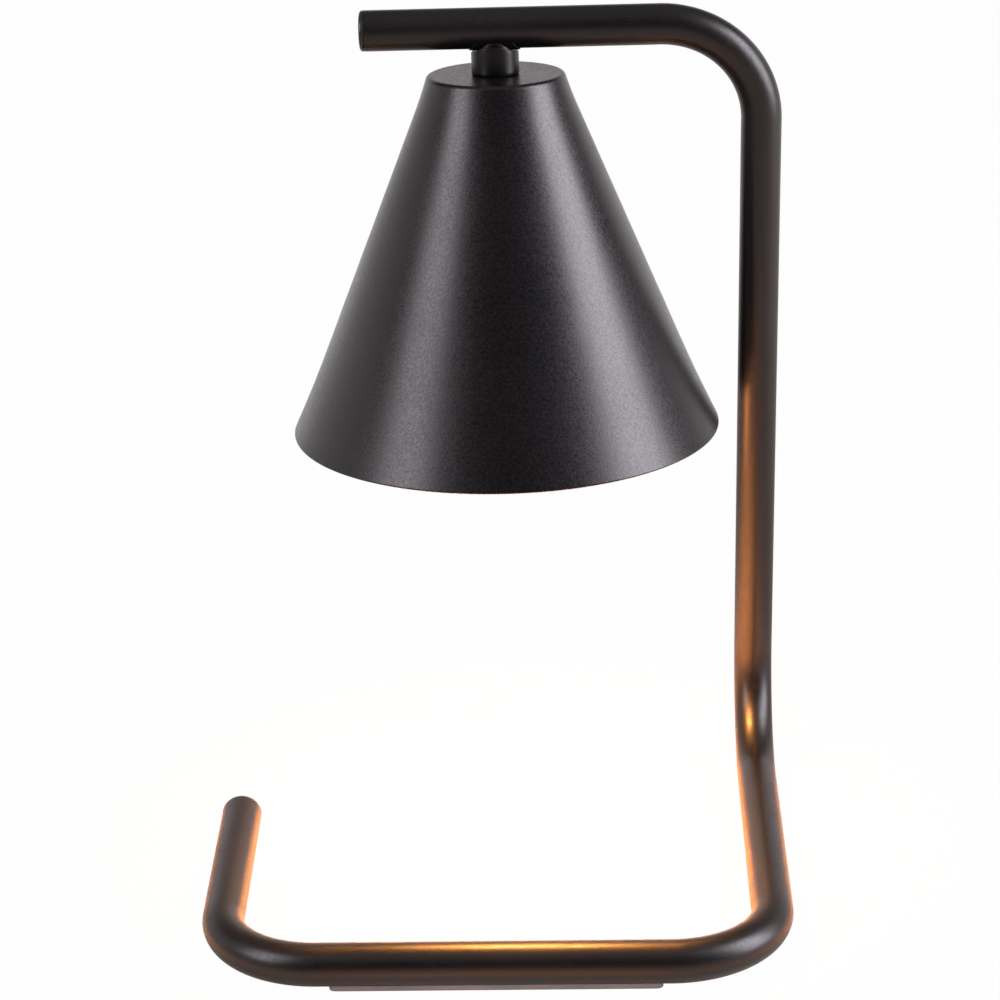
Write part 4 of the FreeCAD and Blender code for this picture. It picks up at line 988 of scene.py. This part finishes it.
# %% [markdown]
# ## Neck and gasket
#
# The neck is a short round piece between arm and shade. Its top has two levels: a brow, which is a
# saddle as wide as the neck and just clear of the arm, and on it a narrower collar, coped to the
# arm's round, with a thin gasket in the cope. Both levels are a height over a disc, the underside
# of a lying cylinder, so one function of the distance across the arm gives them. The soft edges of
# the two rims draw the two bright arcs under the arm.

# %% Heights over the disc
NECK_COLUMNS = 192
NECK_CHAMFER = 0.4 * MM
ARM_GAP = 0.4 * MM
BROW_RADIUS = 11.7 * MM
BROW_LIFT = 4.42 * MM
BROW_EDGE = 0.45 * MM
COLLAR_RADIUS = 5.75 * MM
COLLAR_EDGE = 0.35 * MM
SOFT_EDGE = 0.12 * MM
STEEPNESS = 1e3
neck_radius = size("neck_spacer")[0] / 2
collar_top = high("neck_spacer")[2]


def saddle_height(across, radius, lift=0.0):
    """Underside of a cylinder along X, its axis lifted over the arm's, at a distance across it.

    Past the cylinder's side it rises steeply, so that the lower of two heights is the other one.
    """
    inside = np.clip(radius ** 2 - across ** 2, 0, None)
    past = np.clip(np.abs(across) - radius, 0, None)
    return arm_level + lift - np.sqrt(inside) + STEEPNESS * past


def smooth_lower(first, second, softness):
    """Lower of two heights, rounded where they cross: -s log(exp(-a / s) + exp(-b / s))."""
    lower = np.minimum(first, second)
    return lower - softness * np.log1p(np.exp(-np.abs(first - second) / softness))


def brow_height(across):
    """Height of the brow: arm level + lift - root(R^2 - across^2)."""
    return saddle_height(across, BROW_RADIUS, BROW_LIFT)


def collar_height(across):
    """Height of the collar: its flat top, or the cope's saddle where that is lower."""
    return smooth_lower(collar_top, saddle_height(across, tube_radius + ARM_GAP), SOFT_EDGE)


def terrace(height, angle, rim, inner, edge, steps):
    """One level of the neck's top, from a quarter round at its rim to its inner radius."""
    bow = np.linspace(0, np.pi / 2, 8)[:, None]
    outer = rim - edge * (1 - np.cos(bow))
    inwards = np.linspace(rim - edge, inner, steps)[1:, None]
    return [around(outer, angle, height(outer * np.sin(angle)) - edge * (1 - np.sin(bow))),
            around(inwards, angle, height(inwards * np.sin(angle)))]


# %% Neck
# Foot chamfer, side, brow and collar as one grid over angle and distance from the axis.
angle = full_circle(NECK_COLUMNS)
top = (terrace(brow_height, angle, neck_radius, COLLAR_RADIUS, BROW_EDGE, 6)
       + terrace(collar_height, angle, COLLAR_RADIUS, HOLE_RADIUS, COLLAR_EDGE, 8))
foot = np.array([[HOLE_RADIUS], [neck_radius - NECK_CHAMFER]])
chamfer_top = shade_top + NECK_CHAMFER
brow_foot = top[0][0, :, 2]
side = chamfer_top + (brow_foot - chamfer_top) * np.linspace(0, 1, 10)[:-1, None]
lower = [around(foot, angle, shade_top), around(neck_radius, angle, side)]
piece = make_piece("coped_neck", lamp_axis + np.concatenate(lower + top), neck_coat, crease=50)
stands_for(piece, "lamp", "black_neck", "neck_spacer")

# %% Gasket
# Two saddle heights over a ring that is cut straight at the collar's top.
angle = full_circle(NECK_COLUMNS)
share = np.linspace(0, 1, 14)[:, None]
skins = []
for radius in (tube_radius, tube_radius + ARM_GAP):
    limit = np.sqrt(radius ** 2 - (arm_level - collar_top) ** 2)
    edge = np.minimum(reach("saddle_gasket"),
                      limit / np.clip(np.abs(np.sin(angle)), 1e-6, None))
    radii = HOLE_RADIUS + (edge - HOLE_RADIUS) * share
    skins.append(around(radii, angle, saddle_height(radii * np.sin(angle), radius)))
points = lamp_axis + np.concatenate([skins[0], skins[1][::-1]])
piece = make_piece("saddle_seal", points, gasket_rubber, crease=30)
stands_for(piece, "lamp", "gasket_rubber", "saddle_gasket")

# %% [markdown]
# ## The shade
#
# The cone is spun from aluminium sheet over a wooden form. Spinning leaves a flat top, a tight
# shoulder, a straight side, and a hem that is folded inside the rim and pressed flat. Just under
# the shoulder and just above the rim the side opens a little more, as sheet does where the roller
# starts and where it lets go. The roller also leaves a waviness of a few hundredths of a
# millimetre, which makes the long highlights swell and narrow a little.

# %% Spun cone
SHEET = 0.8 * MM
CONE_TOP = 20.8 * MM
SHOULDER = 1.8 * MM
HEM_HEIGHT = 2 * MM
HEM_THICKNESS = 2.2 * MM
HEM_FOLD, HEM_INSIDE, HEM_RIM = 0.5 * MM, 0.3 * MM, 0.45 * MM
CROWN_FLARE, CROWN_HEIGHT = 0.6 * MM, 11 * MM
MOUTH_FLARE, MOUTH_HEIGHT = 0.9 * MM, 26 * MM
WAVE_DEPTH = 0.03 * MM
SLOW_WAVE, QUICK_WAVE, QUICK_SHARE = 41, 97, 0.6
CALM_ENDS, WAVE_START = 0.06, 0.1

# Outline of top, shoulder, side, hem and inner wall, turned about the lamp's axis. At a depth d
# under the top, the cone is widened by crown flare (1 - d / crown height)^2 near its top and by
# mouth flare (1 - (height - d) / mouth height)^2 near its rim. The flat top stretches with it.
height = shade_top - low("shade_shell")[2]
cone_rim = reach("shade_shell") - MOUTH_FLARE
slope = (cone_rim - CONE_TOP) / height
side_wall = SHEET * np.hypot(1, slope)
inner_top = CONE_TOP + slope * SHEET - side_wall
inner_hem = CONE_TOP + slope * (height - HEM_HEIGHT) - side_wall
corners = [
    (HOLE_RADIUS, 0), (HOLE_RADIUS, -SHEET), (inner_top, -SHEET, SHOULDER - SHEET),
    (inner_hem, HEM_HEIGHT - height, HEM_FOLD),
    (cone_rim - HEM_THICKNESS, HEM_HEIGHT - height, HEM_INSIDE),
    (cone_rim - HEM_THICKNESS, -height, HEM_RIM), (cone_rim, -height, HEM_RIM),
    (CONE_TOP, 0, SHOULDER)]
profile = fine(outline(corners, 10), near=0.35 * MM, step=1.5 * MM)
depth = -profile[:, 1]
crown = CROWN_FLARE * np.clip(1 - depth / CROWN_HEIGHT, 0, 1) ** 2
mouth = MOUTH_FLARE * np.clip(1 - (height - depth) / MOUTH_HEIGHT, 0, 1) ** 2
stretch = np.clip((profile[:, 0] - 2 * HOLE_RADIUS) / (CONE_TOP / 2), 0, 1)
down = depth / height
fade = np.clip(np.minimum(down - CALM_ENDS, 1 - CALM_ENDS - down) / WAVE_START, 0, 1)
wave = (np.sin(down * SLOW_WAVE) + QUICK_SHARE * np.sin(down * QUICK_WAVE + 1)
        - 1 - QUICK_SHARE)
profile[:, 0] += stretch * (crown + mouth) + WAVE_DEPTH / 2 * fade * wave
points = lathe(profile, lamp_axis + [0, 0, shade_top], 256)
piece = make_piece("spun_shade", points, shade_coat, crease=35)
stands_for(piece, "lamp", "black_shade", "shade_shell")

# %% [markdown]
# ## The threaded nipple
#
# The nipple is a hollow rod with a thread. Its radius is the rod's less a triangle wave
# of the height plus the turn, which is exactly what a single-start thread is.

# %% Nipple
PITCH = 1.0 * MM
PITCH_STEPS = 8
THREAD_DEPTH = 0.5 * MM
NIPPLE_BORE = 2.7 * MM

# Radius = R - depth |2 frac(z / pitch - a / turn) - 1|, limited by a chamfer at both ends.
bottom, top = levels("threaded_nipple")
radius = reach("threaded_nipple")
angle = full_circle(48)
level = np.append(np.arange(bottom, top, PITCH / PITCH_STEPS), top)[:, None]
phase = (level / PITCH - angle / (2 * np.pi)) % 1
thread = radius - THREAD_DEPTH * np.abs(2 * phase - 1)
chamfer = radius - THREAD_DEPTH + np.minimum(level - bottom, top - level)
outer = around(np.minimum(thread, chamfer), angle, level)
bore = around(NIPPLE_BORE, angle, np.array([[top], [bottom]]))
piece = make_piece("nipple_thread", lamp_axis + np.concatenate([outer, bore]), zinc, crease=30)
stands_for(piece, "lamp", "zinc_steel", "threaded_nipple")

# %% [markdown]
# ## Glass and filament of the bulb
#
# The reflector's bowl is pressed glass. Inside it has flat facets in rings, which mix the light,
# so that the beam has no image of the filament in it. The front glass is nearly flat, with faint
# rings, and sits on a ledge of the bowl. The filament is a coil between two posts.

# %% Reflector bowl
GLASS_WALL = 1.4 * MM
GLASS_CURVE = 48 * MM
BACK_RADIUS = 13.4 * MM
RIM_BAND = 3.5 * MM
LENS_THICKNESS = 2 * MM
LENS_LEDGE = 1 * MM
FACETS = 36
FACET_RINGS = 9
FACET_DEPTH = 0.22 * MM


def bowed(start, stop, radius, steps):
    """Points on an arc of the given radius between two places of an outline, bulging outward."""
    start, stop = np.array(start), np.array(stop)
    chord = np.linalg.norm(stop - start)
    along = (stop - start) / chord
    outward = np.array([-along[1], along[0]])
    half = np.arcsin(chord / 2 / radius)
    centre = (start + stop) / 2 - outward * radius * np.cos(half)
    angle = np.linspace(-half, half, steps)[:, None]
    return centre + radius * (outward * np.cos(angle) + along * np.sin(angle))


# Outer arc, rim, ledge and inner arc; the inner one is dented to flat facets in rings.
bottom, top = levels("bulb_reflector")
front = reach("bulb_reflector")
lens = front - GLASS_WALL
ledge = bottom + LENS_THICKNESS
outer = bowed((front, bottom + RIM_BAND), (BACK_RADIUS, top), -GLASS_CURVE, 30)
inner = bowed((BACK_RADIUS - GLASS_WALL, top), (lens - LENS_LEDGE, ledge),
              GLASS_CURVE - GLASS_WALL, 61)
rim = np.array([[lens, ledge], [lens, bottom], [front, bottom]])
columns = FACETS * 6
angle = full_circle(columns)
across = 1 - np.abs(np.sin(angle / 2 * FACETS))
along = 1 - np.abs(np.sin(np.linspace(0, FACET_RINGS, len(inner)) * np.pi))[:, None]
dented = inner[:, :1] - FACET_DEPTH * (across + along) / 2
points = np.concatenate([lathe(outer, lamp_axis, columns),
                         around(dented, angle, inner[:, 1:]) + lamp_axis,
                         lathe(rim, lamp_axis, columns)])
piece = make_piece("faceted_reflector", points, mirror_coat, crease=25)
stands_for(piece, "bulb", "reflector_glass", "bulb_reflector")

# %% Front glass
LENS_DOME = 400 * MM
RING_STEP = 2.2 * MM
RING_DEPTH = 0.12 * MM

# Closed disc: domed outside, and inside it has rings of cosine height.
bottom, top = levels("bulb_lens")
radius = np.linspace(0, reach("bulb_lens"), 90)
dome = bottom + LENS_DOME - np.sqrt(LENS_DOME ** 2 - radius ** 2)
rings = top - RING_DEPTH * (1 - np.cos(radius / RING_STEP * 2 * np.pi)) / 2
profile = np.concatenate([np.stack([radius, dome], 1), np.stack([radius, rings], 1)[::-1]])
piece = make_piece("front_glass", lathe(profile, lamp_axis), front_glass_finish)
stands_for(piece, "bulb", "lens_glass", "bulb_lens")

# %% Filament
POST_RADIUS = 0.2 * MM
POST_STEPS = 8
WIRE_RADIUS = 0.1 * MM
WIRE_COLUMNS = 12
COIL_TURNS = 11
TURN_STEPS = 24


def wire(line, axes, radius):
    """A rod along a line, closed at its ends, with its circle's two axes given for each point."""
    ring = line[:, None, :] + spokes(axes, WIRE_COLUMNS) * radius
    first, last = (np.repeat(end[None, None, :], WIRE_COLUMNS, 1) for end in (line[0], line[-1]))
    return np.concatenate([first, ring, last])


# Two upright posts and a helix: y, z = r cos, r sin of the turn while x advances.
across, back, up = np.eye(3)
outer = size("bulb_filament")[1] / 2
half = size("bulb_filament")[0] / 2 - outer
bottom, top = levels("bulb_filament")
level = bottom + outer
centre = middle("bulb_filament") * [1, 1, 0]
turn = np.linspace(0, 2 * np.pi * COIL_TURNS, COIL_TURNS * TURN_STEPS + 1)[:, None]
radial = np.cos(turn) * back + np.sin(turn) * up
advance = across * 2 * half / turn[-1]
tangent = (np.cos(turn) * up - np.sin(turn) * back) * (outer - WIRE_RADIUS) + advance
tangent /= np.linalg.norm(tangent, axis=1)[:, None]
coil = (centre - across * half + up * level + radial * (outer - WIRE_RADIUS)
        + advance * turn)
shapes = [wire(coil, np.stack([radial, np.cross(tangent, radial)], 1), WIRE_RADIUS)]
heights = np.linspace(level - outer / 2, top, POST_STEPS)[:, None]
for side in (-1, 1):
    post = centre + across * side * half + up * heights
    shapes.append(wire(post, np.repeat([[across, back]], POST_STEPS, 0), POST_RADIUS))
starts = np.cumsum([0] + [shape.size // 3 for shape in shapes[:-1]])
faces = [grid_faces(*shape.shape[:2], close_rows=False) + start
         for shape, start in zip(shapes, starts)]
piece = make_piece("coiled_filament", np.concatenate(shapes), tungsten,
                   faces=np.concatenate(faces))
stands_for(piece, "bulb", "tungsten", "bulb_filament")

# %% [markdown]
# ## Finishes for the CAD's own pieces
#
# The hardware inside the shade keeps its CAD meshes, because their shapes are right as they are.
# Each gets its finish in the mesh's material slots.

# %% Dress the CAD nodes
CAD_FINISHES = {
    "toothed_washer": zinc, "hanger_strap": zinc, "holder_screws": zinc, "earth_tag": tinned_brass,
    "lock_nut": turned_brass, "contact_live": bronze, "contact_neutral": bronze,
    "lampholder_cap": steatite, "lampholder_body": steatite, "bulb_base": glazed,
    "bulb_pins": nickel, "bulb_capsule": quartz, "lead_neutral": lead_blue,
    "lead_live": lead_brown, "lead_earth": lead_striped,
}
for node, finish in CAD_FINISHES.items():
    mesh = frame["nodes"][node].data
    mesh.materials.clear()
    mesh.materials.append(finish)
print("dressed", len(CAD_FINISHES), "CAD nodes")
